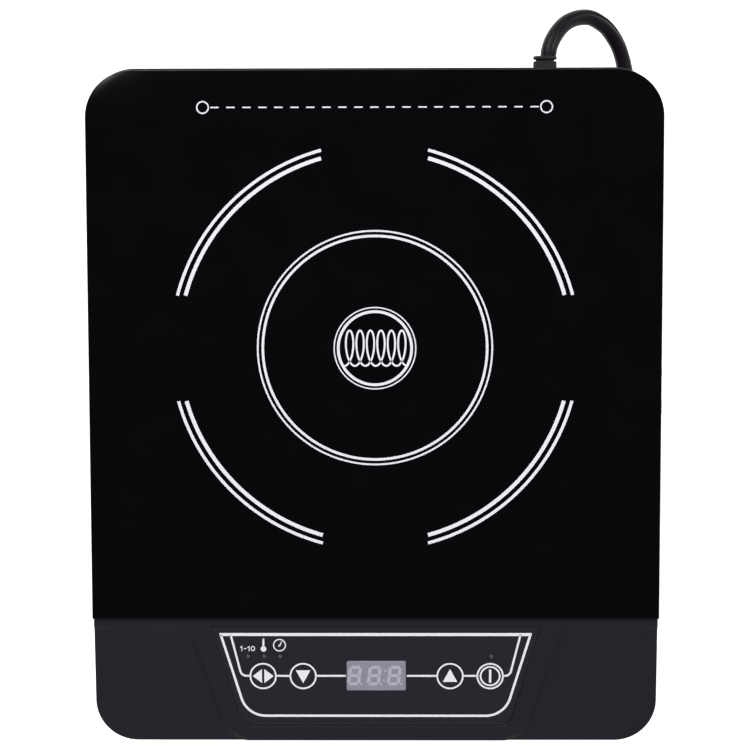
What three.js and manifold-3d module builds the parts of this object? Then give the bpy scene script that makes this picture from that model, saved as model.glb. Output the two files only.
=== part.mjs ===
// Free-standing electric induction cooktop with one cooking zone, a sloping key panel and a mains lead.
// Millimetres. +Z is up, the key panel faces -Y, and the origin is the centre of the case on the floor.
import * as THREE from "three";
import { mergeVertices } from "three/addons/utils/BufferGeometryUtils.js";
import Module from "manifold-3d";

const wasm = await Module();
wasm.setup();

// Clearances and counts
const seatGap = 0.3; // between pieces that rest on, or fit in, each other
const overrun = 1; // how far a cutter passes the surface that it cuts
const weldDistance = 0.001;
const degree = Math.PI / 180;
const cornerSteps = 4; // half the facets in a rounded corner
const caseCornerSteps = 8; // the same for the corners of the case
const roundSides = 16; // facets round a small pin, hole or post

// Case
const totalHeight = 62;
const panelDepth = 65.05; // how far the case runs on in front of the glass
const caseFrontRadius = 21.5;
const caseRearRadius = 24;
const caseWall = 2.5;
const partingHeight = 38; // where the two housings meet
const flangeHeight = 24; // underside of the overhang round the base pan
const groundClearance = 11;
const panInset = 27;
const panRadius = 70;

// Glass top and its seal
const glassWidth = 290;
const glassDepth = 278.8;
const glassThickness = 4;
const glassRearRadius = 23.5;
const glassFrontRadius = 0.8;
const glassOverhang = 0.5; // how far the glass stands out past the sides of the case
const rearRim = 0.95; // how far the case stands out behind the glass
const sealThickness = 0.6;
const sealInset = 4;
const sealWidth = 9;
const deckThickness = 2.5;
const deckBorder = 20; // ledge that carries the glass at the sides and the rear
const deckFrontBorder = 14;

// Sloping key panel, measured down the slope from the front edge of the glass
const panelSlope = 4 * degree;
const panelDrop = 1.6; // panel below the top of the glass where they meet
const panelSkin = 4;
const panelWallGap = 3; // solid left behind the glass edge before the panel's hollow starts
const wingDepth = 1.2; // the side wings lie this much below the middle of the panel
const wingBevel = 1.8;
const wingStart = 4.2;
const wingToe = 3; // how far the turned-in stretch runs on down the slope
const wingRearHalf = 94.9; // half width between the wings, at the rear, at the knee and at the front
const wingKneeHalf = 76.5;
const wingFrontHalf = 66.5;
const wingRadius = 8.2;
const wingKneeRadius = 18;

// Printed film in its recess
const filmStart = 4.2;
const filmFrontMargin = 7.81;
const filmRearHalf = 84.8;
const filmFrontHalf = 68.7;
const filmRadius = 8;
const filmCornerRadius = 0.8;
const filmThickness = 0.8;
const filmStep = 0.5; // film surface below the panel

// Keys, switches and lights
const keyRowRise = 0.2; // row of keys above the middle of the film
const keyRowShift = 0.5; // the row's middle is this far to the right
const innerKeyOffset = 37.8;
const outerKeyOffset = 58.4;
const keyRadius = 7.05;
const keyFlangeRadius = 8.6;
const keyFlange = 1.2;
const keyStemRadius = 2.2;
const keyStem = 1.7;
const keyProud = 0.4;
const keyTravel = 0.4;
const switchWidth = 6.2;
const switchHeight = 3.5;
const plungerRadius = 1.7;
const plungerLength = 2.8;
const lightRise = 10.35; // row of lights above the row of keys
const lightPitch = 8.3;
const lightShift = 0.6; // the middle of each group of lights from its key
const lightRadius = 0.95;
const lightBaseRadius = 1.6;
const lightTip = 4.5;
const displayWidth = 30.9;
const displayHeight = 15.9;
const controlBoardThickness = 1.6;
const controlBoardWidth = 150;
const controlBoardStart = 9;
const controlBoardFrontMargin = 12.2;
const controlPostInset = 5;
const controlPostRadius = 2.5;

// Heating unit below the glass
const heaterAirGap = 3.4; // between the mica sheet and the glass
const carrierThickness = 3;
const carrierRadius = 94;
const carrierRim = 6;
const carrierHubRadius = 24;
const carrierSpokeWidth = 11;
const carrierSpokes = 8;
const carrierHoleRadius = 11;
const carrierPostRadius = 4;
const carrierPostGap = 6; // from the rim to the middle of a post
const carrierEarRadius = 7;
const litzDiameter = 4.4;
const litzInnerRadius = 26;
const litzTurns = 9;
const ferriteEndInset = 10; // from the rim of the carrier
const ferriteWidth = 12;
const ferriteThickness = 4;
const ferriteInnerDistance = 30;
const ferriteCount = 4;
const micaThickness = 0.6;
const micaInset = 2; // from the rim of the carrier
const thermistorClearance = 2;
const thermistorCollarRim = 3;
const thermistorCollar = 2.2;
const thermistorTail = 4;

// Cooling fan in the base pan
const fanSize = 80;
const fanAirGap = 7.9; // above the fan
const fanWallClearance = 1.5;
const fanCornerRadius = 4;
const fanDuctWall = 2.5;
const fanTipClearance = 1;
const fanMotorRadius = 15;
const fanMotorHeight = 2.5;
const fanStrutWidth = 4;
const fanStruts = 4;
const fanBearingRadius = 4;
const fanBearingDrop = 7; // end of the bearing below the top of the fan
const fanShaftRadius = 1.5;
const fanHubRadius = 17;
const fanHubWall = 1.6;
const fanHubDrop = 4.5; // how much the hub is lower than the frame
const fanBlades = 7;
const fanBladeThickness = 1.6;
const fanBladeDrop = 6.5; // how much the blades are lower than the hub
const fanBladePitch = 38 * degree;
const fanScrewInset = 4.5;
const fanScrewRadius = 2.1;

// Air inlet below the fan and outlets in the walls
const inletSlotWidth = 4.6;
const inletSlotPitch = 7;
const inletRim = 1.5; // inside the fan's duct
const outletSlotWidth = 3;
const outletSlotPitch = 7;
const outletFloorGap = 2; // above the inside of the flange
const outletHeight = 7;
const rearOutletStart = 22; // from the middle of the rear wall
const rearOutletMargin = 4; // from the rounded corner

// Main board and what it carries
const mainBoardDepth = 105;
const mainBoardThickness = 1.6;
const mainBoardFanGap = 11.5;
const mainBoardSideGap = 19;
const mainBoardShift = 10.45; // behind the middle of the zone
const partHeadroom = 1.5; // between the board's parts and the ferrite bars
const boardStandoff = 5;
const boardPostInset = 6;
const boardPostRadius = 3;
const heatSinkInset = 2; // from the edge of the board that faces the fan
const heatSinkBase = 4;
const heatSinkLength = 60;
const heatSinkFinLength = 28;
const heatSinkFinThickness = 2;
const heatSinkFins = 8;
const transistorWidth = 16;
const transistorThickness = 5;
const powerPartDrop = 1.5; // how much the power parts are lower than the heat sink
const rectifierWidth = 22;
const powerPartSpacing = 8;
const chokeRadiusShare = 0.127; // of the room beside the heat sink, like the shares below
const chokeWireRadiusShare = 0.0635;
const chokeShares = [0.238, 0.84];
const filterCapacitorWidthShare = 0.4065;
const filterCapacitorDepth = 14;
const filterCapacitorDrop = 1.5;
const filterCapacitorShares = [0.695, 0.724];
const resonanceCapacitorWidthShare = 0.483;
const resonanceCapacitorDepth = 20;
const resonanceCapacitorDrop = 0.5;
const resonanceCapacitorShares = [0.619, 0.381];
const capacitorRadius = 2;
const buzzerRadiusShare = 0.0762;
const buzzerHeight = 9;
const buzzerShares = [0.8475, 0.124];

// Feet and case screws
const footSideInset = 35.5; // from the sides of the pan
const footEndInset = 39.5; // from its front and its rear
const footRadius = 10;
const footTopRadius = 8.5;
const footPegRadius = 4;
const footPegHeadRadius = 5.2;
const footPegHead = 1.6;
const footGrip = 4; // straight part of the foot above the floor
const screwSideInset = 13.5; // from the sides of the case
const screwEndInset = 32.4; // from its front and its rear
const screwRadius = 1.5;
const screwHeadRadius = 3.2;
const screwHeadHeight = 2.2;
const screwLength = 16;
const screwBossRadius = 4.5;

// Cord grommet, inner lead and clamp
const cordDiameter = 8;
const cordX = 88.6;
const grommetX = 86.7;
const grommetRadius = 6;
const grommetWaistRadius = 5;
const grommetFlangeRadius = 8;
const grommetFlange = 2.2;
const grommetNeckRadius = 4.7;
const grommetNeck = 0.8;
const grommetCollar = 3.5;
const grommetRib = 1.8;
const grommetTail = 10;
const grommetTailRadius = 5.4;
const clampSetback = 19; // middle of the clamp from the outside of the rear wall
const clampLength = 6;
const clampWidth = 26;
const clampThickness = 2.5;
const saddleWidth = 30;
const innerLeadSteps = 14;
const innerLeadReach = 9.4; // straight part, from the middle of the clamp
const innerLeadLanding = 15; // end of the lead in from the rear edge of the board
const innerLeadShares = [ // how far along, and how far down
  [0, 0],
  [0.219, 0.136],
  [0.4375, 0.492],
  [0.656, 0.833],
  [0.844, 0.985],
  [1, 1],
];

// Mains lead: the route that shows, from the grommet to the coil
const cordSides = 10;
const cordSteps = 26;
const cordRoute = [
  [88.6, 179.1, 38.0],
  [88.6, 180.9, 38.0],
  [89.3, 183.9, 37.6],
  [90.9, 187.6, 36.8],
  [93.8, 192.0, 35.0],
  [98.0, 196.0, 32.5],
  [103.7, 198.5, 29.1],
  [110.2, 198.9, 25.4],
  [115.8, 196.6, 21.6],
  [120.3, 193.3, 17.9],
  [123.8, 189.1, 14.8],
  [126.7, 184.4, 12.3],
  [128.7, 179.3, 10.5],
  [130.0, 174.1, 9.2],
  [131.6, 165.6, 7.4],
  [133.3, 156.9, 5.8],
  [135.3, 148.0, 5.05],
  [137.2, 141.4, 4.9],
  [139.3, 135.6, 4.9],
];

// Put-away length: a flat coil round the rear right foot, whose inner end passes over the turns
const coilRest = 4.9; // height of the coil's middle line
const coilRadius = 64;
const coilPitch = 8.75;
const coilStart = 20; // degrees from +X, wound clockwise seen from above
const coilEnd = 138;
const coilFullTurns = 3;
const coilStepsPerTurn = 24;
const coilSides = 6;
const crossingSteps = 26;
const crossingStations = [
  // degrees, distance from the foot, height
  [120, 31.3, 5.1],
  [100, 30.8, 6.0],
  [80, 30.7, 8.2],
  [60, 31.6, 11.1],
  [42, 35.0, 13.5],
  [24, 40.6, 14.0],
  [8, 47.5, 14.0],
  [-8, 54.5, 14.0],
  [-22, 61.0, 14.0],
  [-33, 67.2, 13.3],
];
const tieAngle = 200;
const tieThickness = 0.6;
const tieWidth = 6;

// Plug, lying flat beside the coil
const plugX = 138.3;
const plugStart = 50; // where the lead enters the plug's sleeve
const plugHeight = 10.2; // height of the plug's middle line
const plugSleeve = 22;
const plugSleeveTipRadius = 5;
const plugSleeveRadius = 7;
const plugLength = 36;
const plugWidth = 24.4;
const plugThickness = 20;
const plugEdge = 3;
const bladeThickness = 1.5;
const bladeSpacing = 12.7;
const lineBladeWidth = 6.3;
const neutralBladeWidth = 7.9;
const bladeLength = 17.5;
const bladeSetback = 4.2; // blades from the plug's middle, away from the earth pin
const earthOffset = 11.9;
const earthRadius = 2.4;
const earthLength = 21;
const bladeRoot = 2;

// Heights and lines that follow from the sizes above
const caseWidth = glassWidth - 2 * glassOverhang;
const caseDepth = rearRim + glassDepth + panelDepth;
const rearY = caseDepth / 2;
const frontY = -caseDepth / 2;
const glassRearY = rearY - rearRim;
const glassFrontY = glassRearY - glassDepth;
const zoneY = (glassRearY + glassFrontY) / 2;
const glassBottom = totalHeight - glassThickness;
const deckTop = glassBottom - sealThickness - 2 * seatGap;
const deckBottom = deckTop - deckThickness;
const panelRear = totalHeight - panelDrop;
const panelLength = panelDepth / Math.cos(panelSlope);
const filmEnd = panelLength - filmFrontMargin;
const wingKnee = panelLength - wingToe;
const keyRow = (filmStart + filmEnd) / 2 - keyRowRise;
const lightRow = keyRow - lightRise;
const controlBoardDepth = panelLength - controlBoardStart - controlBoardFrontMargin;
const panFloorTop = groundClearance + caseWall;
const flangeTop = flangeHeight + caseWall;
const panHalfWidth = caseWidth / 2 - panInset;
const panHalfDepth = caseDepth / 2 - panInset;
const footX = panHalfWidth - footSideInset;
const footY = panHalfDepth - footEndInset;
const screwX = caseWidth / 2 - screwSideInset;
const screwY = caseDepth / 2 - screwEndInset;
const micaTop = glassBottom - heaterAirGap;
const micaBottom = micaTop - micaThickness;
const carrierTop = micaBottom - 2 * seatGap - litzDiameter;
const carrierHeight = carrierTop - carrierThickness;
const ferriteTop = carrierHeight - seatGap;
const ferriteBottom = ferriteTop - ferriteThickness;
const carrierPostDistance = carrierRadius + carrierPostGap;
const litzOuterRadius = carrierRadius - carrierRim;
const thermistorRadius = carrierHoleRadius - thermistorClearance;
const thermistorCollarRadius = carrierHoleRadius + thermistorCollarRim;
const fanHeight = ferriteBottom - fanAirGap - panFloorTop - seatGap;
const fanDuctRadius = fanSize / 2 - fanDuctWall;
const fanBearingHeight = fanHeight - fanBearingDrop;
const fanHubHeight = fanHeight - fanHubDrop;
const fanBladeHeight = fanHubHeight - fanBladeDrop;
const inletRadius = fanDuctRadius - inletRim;
const filmTop = -filmStep;
const filmBottom = filmTop - filmThickness;
const recessFloor = filmBottom - seatGap;
const keyTop = filmTop + keyProud;
const keyFlangeTop = -panelSkin - seatGap;
const keyFlangeBottom = keyFlangeTop - keyFlange;
const keyStemEnd = keyFlangeBottom - keyStem;
const plungerTop = keyStemEnd - seatGap;
const plungerEnd = plungerTop - plungerLength;
const switchTop = plungerTop - keyTravel - 2 * seatGap;
const controlBoardTop = switchTop - switchHeight - seatGap;
const switchBoreEnd = plungerEnd - keyTravel - seatGap;

// Finishes
const finishes = {
  glass: { color: 0x0c0c0e, roughness: 0.08, metalness: 0 },
  casePlastic: { color: 0x2a272e, roughness: 0.5, metalness: 0 },
  film: { color: 0x2d2a31, roughness: 0.35, metalness: 0 },
  key: { color: 0x2d2a31, roughness: 0.4, metalness: 0 },
  rubber: { color: 0x2b2a2c, roughness: 0.8, metalness: 0 },
  display: { color: 0x878291, roughness: 0.2, metalness: 0 },
  light: { color: 0x6c6874, roughness: 0.3, metalness: 0 },
  board: { color: 0x2f5b3a, roughness: 0.6, metalness: 0 },
  darkPlastic: { color: 0x1d1d1f, roughness: 0.55, metalness: 0 },
  palePlastic: { color: 0xd8d4c8, roughness: 0.6, metalness: 0 },
  copper: { color: 0xa5642f, roughness: 0.45, metalness: 0.8 },
  ferrite: { color: 0x3a3a3d, roughness: 0.7, metalness: 0.1 },
  mica: { color: 0xb9a98a, roughness: 0.5, metalness: 0 },
  aluminium: { color: 0xb8babd, roughness: 0.35, metalness: 1 },
  steel: { color: 0x9a9c9f, roughness: 0.3, metalness: 1 },
  brass: { color: 0xb99a52, roughness: 0.3, metalness: 1 },
  capacitor: { color: 0xb7963a, roughness: 0.5, metalness: 0 },
};
const materials = Object.fromEntries(
  Object.entries(finishes).map(([name, finish]) => [name, new THREE.MeshStandardMaterial(finish)]),
);

// Solids, joins and cuts
function solidOf(geometry) {
  const bare = geometry.clone();
  bare.deleteAttribute("normal");
  bare.deleteAttribute("uv");
  const merged = mergeVertices(bare, weldDistance);
  return new wasm.Manifold(
    new wasm.Mesh({
      numProp: 3,
      vertProperties: merged.attributes.position.array,
      triVerts: new Uint32Array(merged.index.array),
    }),
  );
}

function geometryOf(solid) {
  const mesh = solid.getMesh();
  const shared = new THREE.BufferGeometry();
  shared.setAttribute("position", new THREE.BufferAttribute(mesh.vertProperties, 3));
  shared.setIndex(new THREE.BufferAttribute(mesh.triVerts, 1));
  const geometry = shared.toNonIndexed();
  geometry.computeVertexNormals();
  return geometry;
}

function joined(...geometries) {
  return geometryOf(geometries.map(solidOf).reduce((a, b) => a.add(b)));
}

function cut(geometry, cutters) {
  const solid = cutters.map(solidOf).reduce((rest, cutter) => rest.subtract(cutter), solidOf(geometry));
  return geometryOf(solid);
}

function common(a, b) {
  return geometryOf(solidOf(a).intersect(solidOf(b)));
}

// A closed outline through corners of { x, y, r }, each rounded to its radius r.
function outline(corners) {
  const shape = new THREE.Shape();
  corners.forEach((corner, i) => {
    const point = new THREE.Vector2(corner.x, corner.y);
    const last = corners.at(i - 1);
    const next = corners[(i + 1) % corners.length];
    const back = new THREE.Vector2(last.x, last.y).sub(point).normalize();
    const ahead = new THREE.Vector2(next.x, next.y).sub(point).normalize();
    const draw = i ? "lineTo" : "moveTo";
    if (!corner.r) {
      shape[draw](point.x, point.y);
      return;
    }
    const half = Math.acos(back.dot(ahead)) / 2;
    const start = point.clone().addScaledVector(back, corner.r / Math.tan(half));
    const end = point.clone().addScaledVector(ahead, corner.r / Math.tan(half));
    const toCentre = back.clone().add(ahead).normalize();
    const centre = point.clone().addScaledVector(toCentre, corner.r / Math.sin(half));
    const clockwise = back.cross(ahead) > 0;
    shape[draw](start.x, start.y);
    shape.absarc(
      centre.x,
      centre.y,
      corner.r,
      start.clone().sub(centre).angle(),
      end.clone().sub(centre).angle(),
      clockwise,
    );
  });
  shape.closePath();
  return shape;
}

function roundedBox(x0, x1, y0, y1, frontRadius, rearRadius = frontRadius) {
  return outline([
    { x: x0, y: y0, r: frontRadius },
    { x: x1, y: y0, r: frontRadius },
    { x: x1, y: y1, r: rearRadius },
    { x: x0, y: y1, r: rearRadius },
  ]);
}

function prism(shape, from, to, curveSegments = cornerSteps) {
  const geometry = new THREE.ExtrudeGeometry(shape, { depth: to - from, bevelEnabled: false, curveSegments });
  return geometry.translate(0, 0, from);
}

function block(x0, x1, y0, y1, z0, z1) {
  const geometry = new THREE.BoxGeometry(x1 - x0, y1 - y0, z1 - z0);
  return geometry.translate((x0 + x1) / 2, (y0 + y1) / 2, (z0 + z1) / 2);
}

function rod(radius, x, y, from, to, sides = roundSides) {
  const geometry = new THREE.CylinderGeometry(radius, radius, to - from, sides);
  return geometry.rotateX(Math.PI / 2).translate(x, y, (from + to) / 2);
}

function rodAlongY(radius, x, z, from, to, sides = roundSides) {
  return new THREE.CylinderGeometry(radius, radius, to - from, sides).translate(x, (from + to) / 2, z);
}

// A solid of revolution about Z, from [radius, height] points that start and end on the axis.
function turned(points, sides = roundSides) {
  const profile = points.map(([r, z]) => new THREE.Vector2(r, z));
  return new THREE.LatheGeometry(profile, sides).rotateX(Math.PI / 2);
}

// A closed tube of flat-sided rings round a line of points.
function woundTube(points, radius, sides) {
  const positions = [];
  const index = [];
  const tangents = points.map((point, i) => {
    const before = points[Math.max(i - 1, 0)];
    const after = points[Math.min(i + 1, points.length - 1)];
    return after.clone().sub(before).normalize();
  });
  const up = new THREE.Vector3(0, 0, 1);
  points.forEach((point, i) => {
    const side = new THREE.Vector3().crossVectors(tangents[i], up).normalize();
    const top = new THREE.Vector3().crossVectors(side, tangents[i]);
    for (let j = 0; j < sides; j += 1) {
      const angle = ((j + 0.5) / sides) * 2 * Math.PI;
      const spot = point.clone();
      spot.addScaledVector(side, radius * Math.cos(angle));
      spot.addScaledVector(top, radius * Math.sin(angle));
      positions.push(spot.x, spot.y, spot.z);
    }
  });
  for (let i = 0; i + 1 < points.length; i += 1) {
    for (let j = 0; j < sides; j += 1) {
      const a = i * sides + j;
      const b = i * sides + ((j + 1) % sides);
      index.push(a, a + sides, b, b, a + sides, b + sides);
    }
  }
  const last = (points.length - 1) * sides;
  for (let j = 1; j + 1 < sides; j += 1) {
    index.push(0, j, j + 1);
    index.push(last, last + j + 1, last + j);
  }
  const geometry = new THREE.BufferGeometry();
  geometry.setAttribute("position", new THREE.Float32BufferAttribute(positions, 3));
  geometry.setIndex(index);
  return geometry;
}

// The least distance between two stretches of a line that are more than a given run apart, less the tube.
function leastGap(points, diameter, run) {
  const along = [0];
  points.forEach((point, i) => {
    if (i) along.push(along[i - 1] + point.distanceTo(points[i - 1]));
  });
  let least = Infinity;
  const nearest = new THREE.Vector3();
  for (let i = 0; i < points.length; i += 1) {
    for (let j = i + 1; j + 1 < points.length; j += 1) {
      if (along[j] - along[i] > run) {
        new THREE.Line3(points[j], points[j + 1]).closestPointToPoint(points[i], true, nearest);
        least = Math.min(least, nearest.distanceTo(points[i]));
      }
    }
  }
  return least - diameter;
}

const vector = ([x, y, z]) => new THREE.Vector3(x, y, z);
const mirrored = (corners) => corners.map(({ x, y, r }) => ({ x: -x, y, r })).reverse();

const part = new THREE.Group();

function piece(name, geometry, material, parent = part) {
  const mesh = new THREE.Mesh(geometry, material);
  mesh.name = name;
  parent.add(mesh);
  return mesh;
}

// The frame of the key panel: x across, y up the slope from the front edge of the glass, z out of it
const keyPanel = new THREE.Group();
keyPanel.position.set(0, glassFrontY, panelRear);
keyPanel.rotation.x = panelSlope;
keyPanel.updateMatrix();
part.add(keyPanel);
const onPanel = (geometry) => geometry.applyMatrix4(keyPanel.matrix);

const keys = [
  { name: "mode", x: keyRowShift - outerKeyOffset },
  { name: "down", x: keyRowShift - innerKeyOffset },
  { name: "up", x: keyRowShift + innerKeyOffset },
  { name: "power", x: keyRowShift + outerKeyOffset },
];
const modeLights = [-1, 0, 1].map((step) => keys[0].x + lightShift + step * lightPitch);
const lights = [...modeLights, keys[3].x + lightShift];

// Case outlines
function caseOutline(inset) {
  const x = caseWidth / 2 - inset;
  const y = caseDepth / 2 - inset;
  return roundedBox(-x, x, -y, y, caseFrontRadius - inset, caseRearRadius - inset);
}

function panOutline(inset) {
  const x = panHalfWidth - inset;
  const y = panHalfDepth - inset;
  return roundedBox(-x, x, -y, y, panRadius - inset);
}

// The lead's hole in the rear wall, half of it in each housing
function grommetHole() {
  const radius = grommetWaistRadius + seatGap;
  return rodAlongY(radius, grommetX, partingHeight, rearY - caseWall - overrun, rearY + overrun);
}

const footSpots = [
  ["front_left", -footX, -footY],
  ["front_right", footX, -footY],
  ["rear_left", -footX, footY],
  ["rear_right", footX, footY],
];
const screwSpots = [
  ["front_left", -screwX, -screwY],
  ["front_right", screwX, -screwY],
  ["rear_left", -screwX, screwY],
  ["rear_right", screwX, screwY],
];

// Glass top and seal
function glassOutline(inset, radius = glassFrontRadius) {
  const half = glassWidth / 2 - inset;
  return roundedBox(-half, half, glassFrontY + inset, glassRearY - inset, radius, glassRearRadius - inset);
}

const glassPlate = prism(glassOutline(0), glassBottom, totalHeight, caseCornerSteps);
piece("glass_plate", glassPlate, materials.glass);

const sealRing = glassOutline(sealInset);
sealRing.holes.push(glassOutline(sealInset + sealWidth));
piece("glass_seal", prism(sealRing, deckTop + seatGap, glassBottom - seatGap), materials.rubber);

// Film outline, shared by the film and its recess
function filmOutline(inset) {
  return outline([
    { x: -filmFrontHalf + inset, y: -filmEnd + inset, r: filmRadius },
    { x: filmFrontHalf - inset, y: -filmEnd + inset, r: filmRadius },
    { x: filmRearHalf - inset, y: -filmStart - inset, r: filmCornerRadius },
    { x: -filmRearHalf + inset, y: -filmStart - inset, r: filmCornerRadius },
  ]);
}

function displayBlock(grow, from, to) {
  const halfWidth = displayWidth / 2 + grow;
  const halfHeight = displayHeight / 2 + grow;
  return block(
    keyRowShift - halfWidth,
    keyRowShift + halfWidth,
    -keyRow - halfHeight,
    -keyRow + halfHeight,
    from,
    to,
  );
}

// Openings through the film and the panel, all in the panel's frame
function panelOpenings(from, to) {
  return [
    ...keys.map((key) => rod(keyRadius + seatGap, key.x, -keyRow, from, to)),
    ...lights.map((x) => rod(lightRadius + seatGap, x, -lightRow, from, to)),
    displayBlock(seatGap, from, to),
  ];
}

// Top housing: deck, side walls and key panel
function topHousing() {
  const edge = partingHeight + seatGap / 2;
  const side = caseWidth / 2 + overrun;
  const above = totalHeight + overrun;
  const behindPanel = glassFrontY - seatGap;
  const panelTopCut = onPanel(
    block(-side, side, -panelLength - caseWall, 0, 0, glassThickness + overrun),
  );
  const shell = cut(prism(caseOutline(0), edge, panelRear, caseCornerSteps), [
    block(-side, side, behindPanel, rearY + overrun, deckTop, above),
    panelTopCut,
  ]);
  const hollowFront = glassFrontY - panelWallGap;
  const underDeck = common(
    prism(caseOutline(caseWall), edge - overrun, deckBottom),
    block(-side, side, hollowFront, rearY, edge - overrun, deckBottom),
  );
  const underPanel = cut(
    common(
      prism(caseOutline(caseWall), edge - overrun, panelRear),
      block(-side, side, frontY, hollowFront + overrun, edge - overrun, panelRear),
    ),
    [
      onPanel(block(-side, side, -panelLength - caseWall, caseWall, -panelSkin, glassThickness)),
      block(-side, side, hollowFront, rearY, deckBottom, panelRear + overrun),
    ],
  );
  const deckHole = roundedBox(
    deckBorder - glassWidth / 2,
    glassWidth / 2 - deckBorder,
    glassFrontY + deckFrontBorder,
    glassRearY - deckBorder,
    caseFrontRadius - sealInset,
  );
  const wing = [
    { x: side, y: -wingStart - wingBevel, r: 0 },
    { x: wingRearHalf + wingBevel, y: -wingStart - wingBevel, r: wingRadius },
    { x: wingKneeHalf + wingBevel, y: -wingKnee, r: wingKneeRadius },
    { x: wingFrontHalf + wingBevel, y: -panelLength, r: 0 },
    { x: wingFrontHalf + wingBevel, y: -panelLength - caseWall, r: 0 },
    { x: side, y: -panelLength - caseWall, r: 0 },
  ];
  const wingCutters = [wing, mirrored(wing)].map((corners) =>
    onPanel(
      new THREE.ExtrudeGeometry(outline(corners), {
        depth: overrun,
        bevelEnabled: true,
        bevelSegments: 1,
        bevelThickness: wingDepth,
        bevelSize: wingBevel,
        curveSegments: cornerSteps,
      }),
    ),
  );
  const bossTop = deckTop - deckThickness / 2;
  const screwBosses = screwSpots.map(([, x, y]) =>
    rod(screwBossRadius, x, y, flangeTop + seatGap, bossTop),
  );
  const postX = controlBoardWidth / 2 - controlPostInset;
  const firstPostRow = -controlBoardStart - controlPostInset;
  const lastPostRow = -controlBoardStart - controlBoardDepth + controlPostInset;
  const controlPosts = [-postX, postX].flatMap((x) =>
    [firstPostRow, lastPostRow].map((y) =>
      onPanel(rod(controlPostRadius, x, y, controlBoardTop + seatGap, -panelSkin / 2)),
    ),
  );
  const hollowed = cut(shell, [underDeck, underPanel]);
  return cut(joined(hollowed, ...screwBosses, ...controlPosts), [
    prism(deckHole, deckBottom - overrun, above),
    ...wingCutters,
    onPanel(prism(filmOutline(0), recessFloor, overrun)),
    ...panelOpenings(-panelSkin - overrun, 0).map(onPanel),
    ...screwSpots.map(([, x, y]) =>
      rod(screwRadius + seatGap, x, y, flangeTop - overrun, flangeHeight + screwLength + overrun),
    ),
    grommetHole(),
  ]);
}
piece("top_housing", topHousing(), materials.casePlastic);

// Bottom housing: side walls, flange and base pan with its grille, posts and outlets
const fanX = -(panHalfWidth - caseWall - fanWallClearance - fanSize / 2);
const fanY = zoneY;
const boardBottom = panFloorTop + boardStandoff + seatGap;
const mainBoardLeft = fanX + fanSize / 2 + mainBoardFanGap;
const mainBoardRight = panHalfWidth - caseWall - mainBoardSideGap;
const mainBoardWidth = mainBoardRight - mainBoardLeft;
const mainBoardX = (mainBoardLeft + mainBoardRight) / 2;
const mainBoardY = zoneY + mainBoardShift;
const postSpots = [1, 3, 5, 7].map((eighth) => {
  const angle = (eighth * Math.PI) / 4;
  return [carrierPostDistance * Math.cos(angle), zoneY + carrierPostDistance * Math.sin(angle)];
});
const boardSpots = [-1, 1].flatMap((sx) =>
  [-1, 1].map((sy) => [
    mainBoardX + sx * (mainBoardWidth / 2 - boardPostInset),
    mainBoardY + sy * (mainBoardDepth / 2 - boardPostInset),
  ]),
);
const cordRadius = cordDiameter / 2;
const clampY = rearY - clampSetback;

const inletSlots = Math.floor((2 * inletRadius) / inletSlotPitch);

function inletSlot(i) {
  const x = (i - (inletSlots - 1) / 2) * inletSlotPitch;
  const halfLength = Math.sqrt(inletRadius ** 2 - x ** 2);
  const halfSlot = inletSlotWidth / 2;
  return block(
    fanX + x - halfSlot,
    fanX + x + halfSlot,
    fanY - halfLength,
    fanY + halfLength,
    0,
    panFloorTop + overrun,
  );
}

function bottomHousing() {
  const edge = partingHeight - seatGap / 2;
  const tray = cut(prism(caseOutline(0), flangeHeight, edge, caseCornerSteps), [
    prism(caseOutline(caseWall), flangeTop, edge + overrun),
  ]);
  const pan = prism(panOutline(0), groundClearance, flangeTop - caseWall / 2);
  const hollow = prism(panOutline(caseWall), panFloorTop, edge + overrun);
  const base = cut(joined(tray, pan), [hollow]);
  const root = panFloorTop - caseWall / 2;
  const saddleTop = partingHeight - cordRadius - seatGap;
  const posts = [
    ...postSpots.map(([x, y]) => rod(carrierPostRadius, x, y, root, carrierHeight - seatGap)),
    ...boardSpots.map(([x, y]) => rod(boardPostRadius, x, y, root, boardBottom - seatGap)),
    block(
      cordX - saddleWidth / 2,
      cordX + saddleWidth / 2,
      clampY - clampLength / 2,
      clampY + clampLength / 2,
      flangeHeight + caseWall / 2,
      saddleTop,
    ),
  ];
  const outletFrom = flangeTop + outletFloorGap;
  const outletTo = outletFrom + outletHeight;
  const rearOutletLength = caseWidth / 2 - caseRearRadius - rearOutletMargin - rearOutletStart;
  const rearOutletSlots = Math.floor(rearOutletLength / outletSlotPitch);
  const sideOutletSlots = Math.floor(fanSize / outletSlotPitch);
  const rearSlots = Array.from({ length: rearOutletSlots }, (_, i) => {
    const x = -rearOutletStart - i * outletSlotPitch;
    const y = rearY - caseWall - overrun;
    return block(x - outletSlotWidth, x, y, rearY + overrun, outletFrom, outletTo);
  });
  const sideSlots = Array.from({ length: sideOutletSlots }, (_, i) => {
    const y = fanY + (i - (sideOutletSlots - 1) / 2) * outletSlotPitch;
    const x = caseWidth / 2;
    const half = outletSlotWidth / 2;
    return block(-x - overrun, caseWall + overrun - x, y - half, y + half, outletFrom, outletTo);
  });
  return cut(joined(base, ...posts), [
    ...Array.from({ length: inletSlots }, (_, i) => inletSlot(i)),
    ...rearSlots,
    ...sideSlots,
    ...footSpots.map(([, x, y]) => rod(footPegRadius + seatGap, x, y, 0, panFloorTop + overrun)),
    ...screwSpots.map(([, x, y]) => rod(screwRadius + seatGap, x, y, 0, flangeTop + overrun)),
    grommetHole(),
  ]);
}
piece("bottom_housing", bottomHousing(), materials.casePlastic);

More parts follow.
